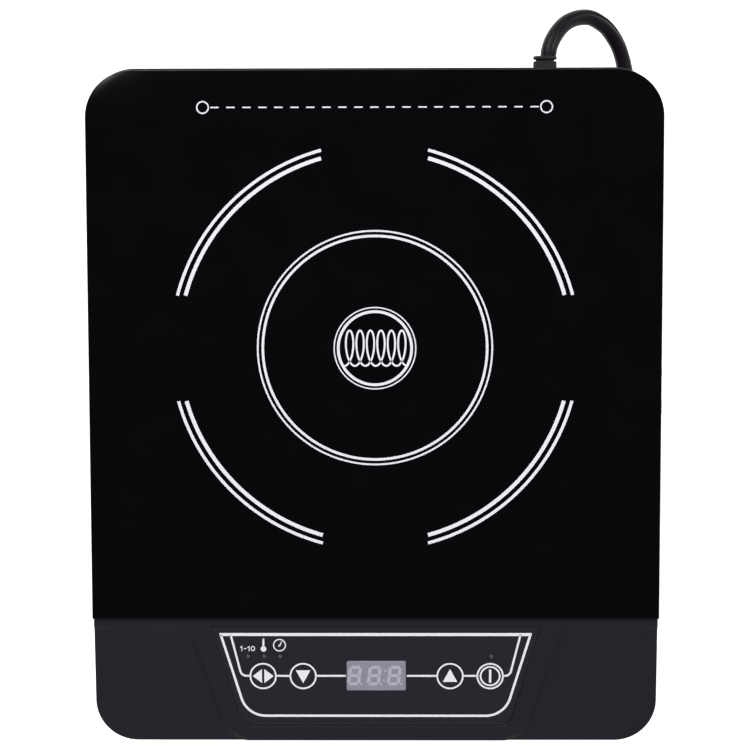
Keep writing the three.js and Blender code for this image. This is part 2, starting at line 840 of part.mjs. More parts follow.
// Feet, pushed into the pan from below
footSpots.forEach(([spot, x, y]) => {
  const foot = turned([
    [0, 0],
    [footRadius, 0],
    [footRadius, footGrip],
    [footTopRadius, groundClearance - seatGap],
    [footPegRadius, groundClearance - seatGap],
    [footPegRadius, panFloorTop + seatGap],
    [footPegHeadRadius, panFloorTop + seatGap],
    [footPegRadius, panFloorTop + seatGap + footPegHead],
    [0, panFloorTop + seatGap + footPegHead],
  ]);
  piece("foot_" + spot, foot, materials.rubber).position.set(x, y, 0);
});

// Case screws, driven up through the flange
screwSpots.forEach(([spot, x, y]) => {
  const screw = turned([
    [0, -screwHeadHeight],
    [screwHeadRadius, -screwHeadHeight],
    [screwHeadRadius, 0],
    [screwRadius, 0],
    [screwRadius, screwLength],
    [0, screwLength],
  ]);
  piece("case_screw_" + spot, screw, materials.steel).position.set(x, y, flangeHeight - seatGap);
});

// Film, window and keys on the panel
const filmSheet = prism(filmOutline(seatGap), filmBottom, filmTop);
const filmOpenings = panelOpenings(filmBottom - overrun, filmTop + overrun);
piece("control_film", cut(filmSheet, filmOpenings), materials.film, keyPanel);
piece("display_window", displayBlock(0, filmBottom, filmTop), materials.display, keyPanel);

const digitBlock = displayBlock(0, controlBoardTop + seatGap, filmBottom - seatGap);
piece("led_display", digitBlock, materials.darkPlastic, keyPanel);

const controlBoard = block(
  -controlBoardWidth / 2,
  controlBoardWidth / 2,
  -controlBoardStart - controlBoardDepth,
  -controlBoardStart,
  controlBoardTop - controlBoardThickness,
  controlBoardTop,
);
piece("control_board", controlBoard, materials.board, keyPanel);

keys.forEach((key) => {
  const cap = turned([
    [0, keyStemEnd],
    [keyStemRadius, keyStemEnd],
    [keyStemRadius, keyFlangeBottom],
    [keyFlangeRadius, keyFlangeBottom],
    [keyFlangeRadius, keyFlangeTop],
    [keyRadius, keyFlangeTop],
    [keyRadius, keyTop],
    [0, keyTop],
  ]);
  piece(key.name + "_key", cap, materials.key, keyPanel).position.set(key.x, -keyRow, 0);

  const plunger = rod(plungerRadius, 0, 0, plungerEnd, plungerTop);
  piece(key.name + "_plunger", plunger, materials.palePlastic, keyPanel).position.set(key.x, -keyRow, 0);

  const half = switchWidth / 2;
  const body = cut(block(-half, half, -half, half, controlBoardTop + seatGap, switchTop), [
    rod(plungerRadius + seatGap, 0, 0, switchBoreEnd, switchTop + overrun),
  ]);
  piece(key.name + "_switch", body, materials.darkPlastic, keyPanel).position.set(key.x, -keyRow, 0);
});

lights.forEach((x, i) => {
  const light = turned([
    [0, controlBoardTop + seatGap],
    [lightBaseRadius, controlBoardTop + seatGap],
    [lightBaseRadius, -panelSkin - seatGap],
    [lightRadius, -panelSkin - seatGap],
    [lightRadius, filmTop],
    [0, filmTop],
  ]);
  const name = i < modeLights.length ? "mode_light_" + (i + 1) : "power_light";
  piece(name, light, materials.light, keyPanel).position.set(x, -lightRow, 0);
});

// Heating unit, centred under the glass
const heater = new THREE.Group();
heater.position.set(0, zoneY, 0);
part.add(heater);
const litzHeight = carrierTop + seatGap + litzDiameter / 2;

function spoke(angle, reach) {
  const bar = block(0, reach, -carrierSpokeWidth / 2, carrierSpokeWidth / 2, carrierHeight, carrierTop);
  return bar.rotateZ(angle);
}

function coilCarrier() {
  const rim = cut(rod(carrierRadius, 0, 0, carrierHeight, carrierTop, 2 * roundSides), [
    rod(carrierRadius - carrierRim, 0, 0, carrierHeight - overrun, carrierTop + overrun, 2 * roundSides),
  ]);
  const reach = carrierRadius - carrierRim / 2;
  const spokes = Array.from({ length: carrierSpokes }, (_, i) =>
    spoke((i * 2 * Math.PI) / carrierSpokes, reach),
  );
  const ears = postSpots.map(([x, y]) => rod(carrierEarRadius, x, y - zoneY, carrierHeight, carrierTop));
  const hub = rod(carrierHubRadius, 0, 0, carrierHeight, carrierTop);
  return cut(joined(rim, hub, ...spokes, ...ears), [
    rod(carrierHoleRadius, 0, 0, carrierHeight - overrun, carrierTop + overrun),
  ]);
}
piece("coil_carrier", coilCarrier(), materials.palePlastic, heater);

function litzLine() {
  const steps = litzTurns * coilStepsPerTurn;
  const line = Array.from({ length: steps + 1 }, (_, i) => {
    const angle = (i / coilStepsPerTurn) * 2 * Math.PI;
    const radius = litzInnerRadius + ((litzOuterRadius - litzInnerRadius) * i) / steps;
    return new THREE.Vector3(radius * Math.cos(angle), radius * Math.sin(angle), litzHeight);
  });
  const first = line[0].clone().add(new THREE.Vector3(0, -litzDiameter, 0));
  const end = line.at(-1).clone().add(new THREE.Vector3(0, litzDiameter, 0));
  return [first, ...line, end];
}
const litz = litzLine();
piece("induction_coil", woundTube(litz, litzDiameter / 2, coilSides), materials.copper, heater);

for (let i = 0; i < ferriteCount; i += 1) {
  const half = ferriteWidth / 2;
  const end = carrierRadius - ferriteEndInset;
  const bar = block(ferriteInnerDistance, end, -half, half, ferriteBottom, ferriteTop);
  const mesh = piece("ferrite_bar_" + (i + 1), bar, materials.ferrite, heater);
  mesh.rotation.z = (i * 2 * Math.PI) / ferriteCount;
}

const micaSheet = cut(rod(carrierRadius - micaInset, 0, 0, micaBottom, micaTop, 2 * roundSides), [
  rod(carrierHoleRadius, 0, 0, micaBottom - overrun, micaTop + overrun),
]);
piece("mica_sheet", micaSheet, materials.mica, heater);

const thermistorHolder = turned([
  [0, carrierHeight - thermistorTail],
  [thermistorRadius, carrierHeight - thermistorTail],
  [thermistorRadius, carrierTop + seatGap],
  [thermistorCollarRadius, carrierTop + seatGap],
  [thermistorCollarRadius, carrierTop + seatGap + thermistorCollar],
  [thermistorRadius, carrierTop + seatGap + thermistorCollar],
  [thermistorRadius, glassBottom - seatGap],
  [0, glassBottom - seatGap],
]);
piece("thermistor_holder", thermistorHolder, materials.rubber, heater);

// Cooling fan
const fan = new THREE.Group();
fan.position.set(fanX, fanY, panFloorTop + seatGap);
part.add(fan);

function fanFrame() {
  const half = fanSize / 2;
  const corner = half - fanScrewInset;
  const duct = cut(prism(roundedBox(-half, half, -half, half, fanCornerRadius), 0, fanHeight), [
    rod(fanDuctRadius, 0, 0, -overrun, fanHeight + overrun, 2 * roundSides),
    ...[-corner, corner].flatMap((x) =>
      [-corner, corner].map((y) => rod(fanScrewRadius, x, y, -overrun, fanHeight + overrun)),
    ),
  ]);
  const struts = Array.from({ length: fanStruts }, (_, i) => {
    const bar = block(0, fanDuctRadius + overrun, -fanStrutWidth / 2, fanStrutWidth / 2, 0, fanMotorHeight);
    return bar.rotateZ((i * 2 * Math.PI) / fanStruts);
  });
  const motor = rod(fanMotorRadius, 0, 0, 0, fanMotorHeight);
  const bearing = rod(fanBearingRadius, 0, 0, fanMotorHeight / 2, fanBearingHeight);
  return cut(joined(duct, motor, bearing, ...struts), [
    rod(fanShaftRadius + seatGap, 0, 0, fanMotorHeight / 2, fanBearingHeight + overrun),
  ]);
}
piece("fan_frame", fanFrame(), materials.darkPlastic, fan);

function fanRotor() {
  const hubBottom = fanMotorHeight + seatGap;
  const hubTop = hubBottom + fanHubHeight;
  const inside = fanHubRadius - fanHubWall;
  const hub = turned([
    [0, fanMotorHeight / 2 + seatGap],
    [fanShaftRadius, fanMotorHeight / 2 + seatGap],
    [fanShaftRadius, hubTop - fanHubWall],
    [inside, hubTop - fanHubWall],
    [inside, hubBottom],
    [fanHubRadius, hubBottom],
    [fanHubRadius, hubTop],
    [0, hubTop],
  ]);
  const tip = fanDuctRadius - fanTipClearance;
  const root = fanHubRadius - fanHubWall / 2;
  const middle = hubBottom + fanHubHeight / 2;
  const blades = Array.from({ length: fanBlades }, (_, i) => {
    const chord = fanBladeHeight / Math.sin(fanBladePitch);
    const blade = new THREE.BoxGeometry(tip - root, chord, fanBladeThickness).rotateX(fanBladePitch);
    return blade.translate((tip + root) / 2, 0, middle).rotateZ((i * 2 * Math.PI) / fanBlades);
  });
  const sweep = rod(tip, 0, 0, hubBottom, hubTop, 2 * roundSides);
  return joined(hub, ...blades.map((blade) => common(blade, sweep)));
}
piece("fan_rotor", fanRotor(), materials.palePlastic, fan);

// Main board and its parts
const boardTop = boardBottom + mainBoardThickness;
const partBottom = boardTop + seatGap;
const heatSinkHeight = ferriteBottom - partHeadroom - partBottom;
const heatSinkX = mainBoardLeft + heatSinkInset;
const heatSinkY = zoneY - heatSinkLength / 2;
const mainBoard = block(
  mainBoardX - mainBoardWidth / 2,
  mainBoardX + mainBoardWidth / 2,
  mainBoardY - mainBoardDepth / 2,
  mainBoardY + mainBoardDepth / 2,
  boardBottom,
  boardTop,
);
piece("main_board", mainBoard, materials.board);

const finPitch = (heatSinkLength - heatSinkFinThickness) / (heatSinkFins - 1);
const comb = [
  { x: heatSinkFinLength + heatSinkBase, y: 0 },
  { x: heatSinkFinLength + heatSinkBase, y: heatSinkLength },
];
for (let i = heatSinkFins - 1; i >= 0; i -= 1) {
  const y = i * finPitch;
  if (i < heatSinkFins - 1) comb.push({ x: heatSinkFinLength, y: y + heatSinkFinThickness });
  comb.push({ x: 0, y: y + heatSinkFinThickness }, { x: 0, y });
  if (i) comb.push({ x: heatSinkFinLength, y });
}
const heatSink = prism(outline(comb), 0, heatSinkHeight);
piece("heat_sink", heatSink, materials.aluminium).position.set(heatSinkX, heatSinkY, partBottom);

const powerPartX = heatSinkX + heatSinkFinLength + heatSinkBase + seatGap;
const powerPartHeight = heatSinkHeight - powerPartDrop;
const powerPart = (width) => block(0, transistorThickness, 0, width, 0, powerPartHeight);
const transistorY = heatSinkY + powerPartSpacing;
piece("power_transistor", powerPart(transistorWidth), materials.darkPlastic).position.set(
  powerPartX,
  transistorY,
  partBottom,
);
piece("bridge_rectifier", powerPart(rectifierWidth), materials.darkPlastic).position.set(
  powerPartX,
  transistorY + transistorWidth + powerPartSpacing,
  partBottom,
);

const partRoomX = powerPartX + transistorThickness;
const partRoom = mainBoardRight - partRoomX;

function standOnBoard(mesh, [shareX, shareY], lift = 0) {
  mesh.position.set(
    partRoomX + shareX * partRoom,
    mainBoardY + (shareY - 1 / 2) * mainBoardDepth,
    partBottom + lift,
  );
}

const chokeWireRadius = chokeWireRadiusShare * partRoom;
const choke = new THREE.TorusGeometry(chokeRadiusShare * partRoom, chokeWireRadius, coilSides, roundSides);
standOnBoard(piece("filter_choke", choke, materials.copper), chokeShares, chokeWireRadius);

function capacitor(width, depth, height) {
  return prism(roundedBox(-width / 2, width / 2, -depth / 2, depth / 2, capacitorRadius), 0, height, 2);
}
const filterCapacitor = capacitor(
  filterCapacitorWidthShare * partRoom,
  filterCapacitorDepth,
  heatSinkHeight - filterCapacitorDrop,
);
standOnBoard(piece("filter_capacitor", filterCapacitor, materials.capacitor), filterCapacitorShares);

const resonanceCapacitor = capacitor(
  resonanceCapacitorWidthShare * partRoom,
  resonanceCapacitorDepth,
  heatSinkHeight - resonanceCapacitorDrop,
);
standOnBoard(
  piece("resonance_capacitor", resonanceCapacitor, materials.capacitor),
  resonanceCapacitorShares,
);

const buzzer = rod(buzzerRadiusShare * partRoom, 0, 0, 0, buzzerHeight);
standOnBoard(piece("buzzer", buzzer, materials.darkPlastic), buzzerShares);

// Grommet in the parting line of the rear wall, with its lead inside and the clamp that holds it
const grommetStart = -caseWall - seatGap - grommetFlange;
const collarEnd = seatGap + grommetCollar;
const ribStart = collarEnd + grommetNeck;
const grommetEnd = ribStart + grommetRib;
const grommet = turned([
  [0, grommetStart - grommetTail],
  [grommetTailRadius, grommetStart - grommetTail],
  [grommetTailRadius, grommetStart],
  [grommetFlangeRadius, grommetStart],
  [grommetFlangeRadius, grommetStart + grommetFlange],
  [grommetWaistRadius, grommetStart + grommetFlange],
  [grommetWaistRadius, seatGap],
  [grommetRadius, seatGap],
  [grommetRadius, collarEnd],
  [grommetNeckRadius, collarEnd],
  [grommetNeckRadius, ribStart],
  [grommetRadius, ribStart],
  [grommetRadius, grommetEnd],
  [0, grommetEnd],
]);
const grommetMesh = piece("cord_grommet", grommet, materials.rubber);
grommetMesh.position.set(grommetX, rearY, partingHeight);
grommetMesh.rotation.x = -Math.PI / 2;

function alongRoute(points, steps, sides) {
  const section = new THREE.Shape();
  for (let i = 0; i < sides; i += 1) {
    const angle = (i / sides) * 2 * Math.PI;
    section[i ? "lineTo" : "moveTo"](cordRadius * Math.cos(angle), cordRadius * Math.sin(angle));
  }
  section.closePath();
  const extrudePath = new THREE.CatmullRomCurve3(points, false, "centripetal");
  return new THREE.ExtrudeGeometry(section, { steps, extrudePath });
}

const innerLeadStart = rearY + grommetStart - grommetTail - seatGap;
const innerLeadBend = new THREE.Vector3(grommetX, clampY - innerLeadReach, partingHeight);
const innerLeadEnd = new THREE.Vector3(
  grommetX,
  mainBoardY + mainBoardDepth / 2 - innerLeadLanding,
  partBottom + cordRadius,
);
const innerLead = [
  new THREE.Vector3(grommetX, innerLeadStart, partingHeight),
  ...innerLeadShares.map(([along, down]) => new THREE.Vector3(
    grommetX,
    innerLeadBend.y + along * (innerLeadEnd.y - innerLeadBend.y),
    innerLeadBend.z + down * (innerLeadEnd.z - innerLeadBend.z),
  )),
];
piece("inner_lead", alongRoute(innerLead, innerLeadSteps, cordSides), materials.rubber);

function cordClamp() {
  const inner = cordRadius + seatGap;
  const top = partingHeight + inner;
  const foot = partingHeight - cordRadius;
  const outer = inner + clampThickness;
  const clampShape = outline([
    { x: -clampWidth / 2, y: foot },
    { x: -inner, y: foot },
    { x: -inner, y: top },
    { x: inner, y: top },
    { x: inner, y: foot },
    { x: clampWidth / 2, y: foot },
    { x: clampWidth / 2, y: foot + clampThickness },
    { x: outer, y: foot + clampThickness },
    { x: outer, y: top + clampThickness },
    { x: -outer, y: top + clampThickness },
    { x: -outer, y: foot + clampThickness },
    { x: -clampWidth / 2, y: foot + clampThickness },
  ]);
  const bar = prism(clampShape, -clampLength / 2, clampLength / 2);
  return bar.rotateX(Math.PI / 2);
}
piece("cord_clamp", cordClamp(), materials.palePlastic).position.set(grommetX, clampY, 0);

// Mains lead that shows
piece("power_cord", alongRoute(cordRoute.map(vector), cordSteps, cordSides), materials.rubber);

// Put-away coil, its inner end and the run to the plug, as one tube
function coilSpot(degrees, radius, height) {
  const angle = degrees * degree;
  return new THREE.Vector3(footX + radius * Math.cos(angle), footY + radius * Math.sin(angle), height);
}

function putAwayLine() {
  const turns = coilFullTurns + (coilStart - coilEnd + 360) / 360;
  const steps = Math.round(turns * coilStepsPerTurn);
  const spiral = Array.from({ length: steps + 1 }, (_, i) => {
    const turn = (turns * i) / steps;
    return coilSpot(coilStart - 360 * turn, coilRadius - coilPitch * turn, coilRest);
  });
  const heading = new THREE.Vector3(Math.sin(coilStart * degree), -Math.cos(coilStart * degree), 0);
  const lead = spiral[0].clone().addScaledVector(heading, -cordDiameter);
  const entry = new THREE.Vector3(plugX, plugStart + seatGap, plugHeight);
  const straight = entry.clone().add(new THREE.Vector3(0, cordDiameter, 0));
  const crossing = crossingStations.map(([degrees, radius, height]) => coilSpot(degrees, radius, height));
  const curve = new THREE.CatmullRomCurve3([spiral.at(-1), ...crossing, straight], false, "centripetal");
  return [lead, ...spiral, ...curve.getSpacedPoints(crossingSteps).slice(1), entry];
}
const putAway = putAwayLine();
piece("cord_coil", woundTube(putAway, cordRadius, coilSides), materials.rubber);

const apart = 3; // turns are compared where the line between them is over three diameters long
const putAwayGap = leastGap(putAway, cordDiameter, apart * cordDiameter);
const litzGap = leastGap(litz, litzDiameter, apart * litzDiameter);
console.log("least gap in the put-away coil", putAwayGap.toFixed(2));
console.log("least gap in the induction coil", litzGap.toFixed(2));

// Tie round the turns of the coil
const tieTurn = ((coilStart - tieAngle + 360) % 360) / 360;
const tieOuter = coilRadius - coilPitch * tieTurn + cordRadius + seatGap;
const tieInner = tieOuter - coilPitch * coilFullTurns - cordDiameter - 2 * seatGap;
const tieBottom = coilRest - cordRadius - seatGap;
const tieTop = coilRest + cordRadius + seatGap;
const tieRing = (grow) =>
  roundedBox(tieInner - grow, tieOuter + grow, tieBottom - grow, tieTop + grow, 0);
const tieSection = tieRing(tieThickness);
tieSection.holes.push(tieRing(0));
const tieBand = prism(tieSection, -tieWidth / 2, tieWidth / 2).rotateX(Math.PI / 2);
const tie = piece("cord_tie", tieBand, materials.steel);
tie.position.set(footX, footY, 0);
tie.rotation.z = tieAngle * degree;

// Plug: sleeve, body, two blades and the earth pin
const plug = new THREE.Group();
plug.position.set(plugX, plugStart, plugHeight);
plug.rotation.x = Math.PI / 2; // its z axis runs from the sleeve to the blades
part.add(plug);

const plugFace = plugSleeve + plugLength;
const bladeX = -bladeSetback;
const earthX = bladeX + earthOffset;
const bladeSpots = [
  { name: "line_blade", y: bladeSpacing / 2, width: lineBladeWidth },
  { name: "neutral_blade", y: -bladeSpacing / 2, width: neutralBladeWidth },
];

function bladeAt(spot, grow, end) {
  const halfWidth = spot.width / 2 + grow;
  const halfThickness = bladeThickness / 2 + grow;
  const root = plugFace - bladeRoot - grow;
  return block(
    bladeX - halfWidth,
    bladeX + halfWidth,
    spot.y - halfThickness,
    spot.y + halfThickness,
    root,
    plugFace + end,
  );
}

function plugBody() {
  const sleeve = turned([
    [0, 0],
    [plugSleeveTipRadius, 0],
    [plugSleeveRadius, plugSleeve],
    [plugSleeveRadius, plugSleeve + plugEdge],
    [0, plugSleeve + plugEdge],
  ]);
  const x = plugWidth / 2 - plugEdge;
  const y = plugThickness / 2 - plugEdge;
  const body = new THREE.ExtrudeGeometry(roundedBox(-x, x, -y, y, plugEdge / 2), {
    depth: plugLength - 2 * plugEdge,
    bevelEnabled: true,
    bevelSegments: 2,
    bevelThickness: plugEdge,
    bevelSize: plugEdge,
    curveSegments: 2,
  });
  return cut(joined(sleeve, body.translate(0, 0, plugSleeve + plugEdge)), [
    ...bladeSpots.map((spot) => bladeAt(spot, seatGap, overrun)),
    rod(earthRadius + seatGap, earthX, 0, plugFace - bladeRoot - seatGap, plugFace + overrun),
  ]);
}

piece("plug_body", plugBody(), materials.rubber, plug);
bladeSpots.forEach((spot) => {
  piece(spot.name, bladeAt(spot, 0, bladeLength), materials.brass, plug);
});
const earthPin = rod(earthRadius, earthX, 0, plugFace - bladeRoot, plugFace + earthLength);
piece("earth_pin", earthPin, materials.brass, plug);

export default part;
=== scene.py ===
import math

import bmesh
import bpy
from mathutils import Matrix, Vector


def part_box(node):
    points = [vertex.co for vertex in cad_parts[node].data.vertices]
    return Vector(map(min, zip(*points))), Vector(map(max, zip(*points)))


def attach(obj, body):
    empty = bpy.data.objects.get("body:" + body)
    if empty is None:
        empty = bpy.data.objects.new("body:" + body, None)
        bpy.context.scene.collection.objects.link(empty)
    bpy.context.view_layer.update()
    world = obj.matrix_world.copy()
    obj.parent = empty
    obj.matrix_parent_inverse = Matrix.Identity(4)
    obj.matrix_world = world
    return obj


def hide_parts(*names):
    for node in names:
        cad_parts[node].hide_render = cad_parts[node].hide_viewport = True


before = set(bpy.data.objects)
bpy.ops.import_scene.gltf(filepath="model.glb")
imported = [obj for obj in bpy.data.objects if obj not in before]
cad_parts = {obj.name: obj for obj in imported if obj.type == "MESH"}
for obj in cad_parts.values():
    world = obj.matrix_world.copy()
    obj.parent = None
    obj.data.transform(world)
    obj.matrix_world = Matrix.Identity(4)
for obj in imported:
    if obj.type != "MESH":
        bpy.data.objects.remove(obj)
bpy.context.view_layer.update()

mm = 0.001
scene = bpy.context.scene
scene.view_settings.view_transform = "Standard"

# the key panel starts at the front edge of the glass and slopes down from there
panelSeat = {"drop": 1.6, "slope": 4}  # mm below the top of the glass, and degrees
glassLow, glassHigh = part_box("glass_plate")
panelStart = Vector((0, glassLow.y, glassHigh.z - panelSeat["drop"] * mm))
panelPlace = Matrix.Translation(panelStart) @ Matrix.Rotation(math.radians(panelSeat["slope"]), 4, "X")


def srgb(red, green, blue):
    # written as the 0-255 values that a picture shows
    def linear(value):
        value /= 255
        return value / 12.92 if value <= 0.04045 else ((value + 0.055) / 1.055) ** 2.4

    return linear(red), linear(green), linear(blue), 1


# camera, standing almost straight above the glass
camera = {
    "place": Vector((12.955, 129.779, 1175.177)) * mm,
    "right": (0.99993327, -0.00229768, -0.01132157),
    "up": (0.00115725, 0.99501429, -0.09972571),
    "back": (0.01149426, 0.09970595, 0.99495055),
    "lens": 106.17,
    "sensor": 36,
}


def makeCamera():
    data = bpy.data.cameras.new("camera")
    data.lens = camera["lens"]
    data.sensor_width = camera["sensor"]
    data.clip_start = 0.01
    eye = bpy.data.objects.new("camera", data)
    turn = Matrix((camera["right"], camera["up"], camera["back"])).transposed().to_4x4()
    eye.matrix_world = Matrix.Translation(camera["place"]) @ turn
    scene.collection.objects.link(eye)
    scene.camera = eye


makeCamera()
print("camera ready")


# shader building
def newGroup(name, inputs, outputs):
    tree = bpy.data.node_groups.new(name, "ShaderNodeTree")
    for label, kind, value in inputs:
        socket = tree.interface.new_socket(label, in_out="INPUT", socket_type="NodeSocket" + kind)
        socket.default_value = value
    for label, kind in outputs:
        tree.interface.new_socket(label, in_out="OUTPUT", socket_type="NodeSocket" + kind)
    return tree, tree.nodes.new("NodeGroupInput").outputs, tree.nodes.new("NodeGroupOutput").inputs


def fill(tree, sockets, values):
    # each socket, named by its label or number, gets a link or a plain value
    for label, value in values.items():
        if isinstance(value, bpy.types.NodeSocket):
            tree.links.new(value, sockets[label])
        else:
            sockets[label].default_value = value


def spaced(values):
    return {label.replace("_", " "): value for label, value in values.items()}


def addNode(tree, kind, settings=(), **values):
    node = tree.nodes.new("ShaderNode" + kind)
    for key, value in dict(settings).items():
        setattr(node, key, value)
    fill(tree, node.inputs, spaced(values))
    return node


def addMath(tree, operation, first, second):
    node = addNode(tree, "Math", {"operation": operation})
    fill(tree, node.inputs, {0: first, 1: second})
    return node.outputs[0]


def addMix(tree, factor, first, second, blend="MIX"):
    node = addNode(tree, "Mix", {"data_type": "RGBA", "blend_type": blend})
    fill(tree, node.inputs, {0: factor, 6: first, 7: second})
    return node.outputs[2]


def addRamp(tree, factor, low, high):
    return addNode(tree, "MapRange", Value=factor, From_Min=low, From_Max=high).outputs["Result"]


def addShade(tree, tone, level):
    grey = addNode(tree, "CombineColor", Red=level, Green=level, Blue=level).outputs[0]
    return addMix(tree, 1.0, tone, grey, "MULTIPLY")


def addBump(tree, height, strength, depth=0.02):
    node = addNode(tree, "Bump", Height=height, Strength=strength, Distance=depth * mm)
    return node.outputs["Normal"]


def objectPlace(tree):
    return addNode(tree, "TexCoord").outputs["Object"]


def addNoise(tree, place, scale, detail, **more):
    return addNode(tree, "TexNoise", Vector=place, Scale=scale, Detail=detail, **more).outputs["Fac"]


surfaceOutputs = [("Color", "Color"), ("Roughness", "Float"), ("Height", "Float")]


def makeGrainGroup():
    # the fine spark-eroded grain of a moulding, with slow drifts in its tone
    inputs = [
        ("Tone", "Color", srgb(42, 39, 46)),
        ("Drift", "Float", 0.08),
        ("Grain Scale", "Float", 2600.0),
        ("Roughness", "Float", 0.5),
        ("Roughness Drift", "Float", 0.06),
    ]
    tree, inputs, outputs = newGroup("mouldedGrain", inputs, surfaceOutputs)
    place, scale = objectPlace(tree), inputs["Grain Scale"]
    grain = addNoise(tree, place, scale, 2.0, Roughness=0.6)
    pits = addNode(tree, "TexVoronoi", {"feature": "SMOOTH_F1"}, Vector=place, Scale=scale)
    swing = addMath(tree, "SUBTRACT", addNoise(tree, place, 14.0, 3.0), 0.5)
    tone = addMath(tree, "ADD", addMath(tree, "MULTIPLY", swing, inputs["Drift"]), 1.0)
    fine = addMath(tree, "MULTIPLY", addMath(tree, "SUBTRACT", grain, 0.5), 0.12)
    spread = addMath(tree, "MULTIPLY", swing, inputs["Roughness Drift"])
    made = {
        "Color": addShade(tree, inputs["Tone"], addMath(tree, "ADD", tone, fine)),
        "Roughness": addMath(tree, "ADD", inputs["Roughness"], spread),
        "Height": addMath(tree, "ADD", grain, pits.outputs["Distance"]),
    }
    fill(tree, outputs, made)
    return tree


def makeBrushedGroup():
    # fine straight scratches, as drawn, stamped or ground metal has
    inputs = [
        ("Tone", "Color", srgb(180, 180, 180)),
        ("Stretch", "Vector", (1.0, 1.0, 30.0)),
        ("Roughness", "Float", 0.3),
    ]
    tree, inputs, outputs = newGroup("drawnMetal", inputs, surfaceOutputs)
    place = objectPlace(tree)
    pulled = addNode(tree, "VectorMath", {"operation": "MULTIPLY"})
    fill(tree, pulled.inputs, {0: place, 1: inputs["Stretch"]})
    lines = addNoise(tree, pulled.outputs[0], 260.0, 4.0)
    stain = addNoise(tree, place, 70.0, 3.0)
    level = addMath(tree, "ADD", addMath(tree, "MULTIPLY", lines, 0.25), 0.82)
    blur = addMath(tree, "ADD", addMath(tree, "MULTIPLY", stain, 0.2), -0.1)
    rough = addMath(tree, "ADD", inputs["Roughness"], blur)
    made = {"Color": addShade(tree, inputs["Tone"], level), "Roughness": rough, "Height": lines}
    fill(tree, outputs, made)
    return tree


def makeDustGroup():
    # a few faint specks and finger marks that change the gloss of a wiped surface
    inputs = [("Roughness", "Float", 0.08), ("Marks", "Float", 0.05)]
    outputs = [("Roughness", "Float"), ("Specks", "Float")]
    tree, inputs, outputs = newGroup("wipedGloss", inputs, outputs)
    place = objectPlace(tree)
    wipe = addNoise(tree, place, 22.0, 5.0, Distortion=1.2)
    marks = addMath(tree, "MULTIPLY", addRamp(tree, wipe, 0.45, 0.75), inputs["Marks"])
    rough = addMath(tree, "ADD", inputs["Roughness"], marks)
    cells = addNode(tree, "TexVoronoi", Vector=place, Scale=420.0).outputs["Distance"]
    fill(tree, outputs, {"Roughness": rough, "Specks": addMath(tree, "LESS_THAN", cells, 0.06)})
    return tree


grainGroup = makeGrainGroup()
brushedGroup = makeBrushedGroup()
dustGroup = makeDustGroup()
materials = {}


def newMaterial(name, **values):
    material = bpy.data.materials.new(name)
    material.use_nodes = True
    tree = material.node_tree
    shader = tree.nodes["Principled BSDF"].inputs
    fill(tree, shader, spaced(values))
    materials[name] = material
    return tree, shader


def addGroup(tree, group, **values):
    node = addNode(tree, "Group", {"node_tree": group})
    fill(tree, node.inputs, spaced(values))
    return node.outputs


def feed(tree, shader, made, bump):
    relief = addBump(tree, made["Height"], bump)
    fill(tree, shader, {"Base Color": made["Color"], "Roughness": made["Roughness"], "Normal": relief})


def mouldedMaterial(name, tone, roughness, drift=0.08, grain=2600.0, bump=0.25, **values):
    tree, shader = newMaterial(name, **values)
    made = addGroup(
        tree, grainGroup, Tone=srgb(*tone), Drift=drift, Grain_Scale=grain, Roughness=roughness
    )
    feed(tree, shader, made, bump)


def metalMaterial(name, tone, roughness, stretch=(1, 1, 30), bump=0.1):
    tree, shader = newMaterial(name, Metallic=1.0)
    made = addGroup(tree, brushedGroup, Tone=srgb(*tone), Stretch=stretch, Roughness=roughness)
    feed(tree, shader, made, bump)


def makeGlassMaterial():
    # black glass ceramic: a faint mottle in the black, wiped smooth
    tree, shader = newMaterial("blackGlass", IOR=1.5, Specular_IOR_Level=0.3)
    marks = addGroup(tree, dustGroup, Roughness=0.07, Marks=0.05)
    mottle = addNoise(tree, objectPlace(tree), 35.0, 4.0)
    body = addMix(tree, mottle, srgb(6, 6, 9), srgb(10, 9, 11))
    tone = addMix(tree, marks["Specks"], body, srgb(15, 15, 17))
    fill(tree, shader, {"Base Color": tone, "Roughness": marks["Roughness"]})


def makeInkMaterial():
    # screen-printed white enamel, slightly uneven
    tree, shader = newMaterial("whiteInk")
    cover = addNoise(tree, objectPlace(tree), 900.0, 3.0)
    tone = addMix(tree, addRamp(tree, cover, 0.3, 0.7), srgb(230, 228, 235), srgb(239, 237, 245))
    fill(tree, shader, {"Base Color": tone, "Roughness": addRamp(tree, cover, -0.6, 1.2)})


def makeDisplayMaterial():
    # the milky front of an unlit display, faintly cloudy
    tree, shader = newMaterial("displayFront")
    cloud = addNoise(tree, objectPlace(tree), 180.0, 3.0)
    tone = addMix(tree, cloud, srgb(136, 131, 146), srgb(152, 147, 162))
    marks = addGroup(tree, dustGroup, Roughness=0.28, Marks=0.1)
    fill(tree, shader, {"Base Color": tone, "Roughness": marks["Roughness"]})


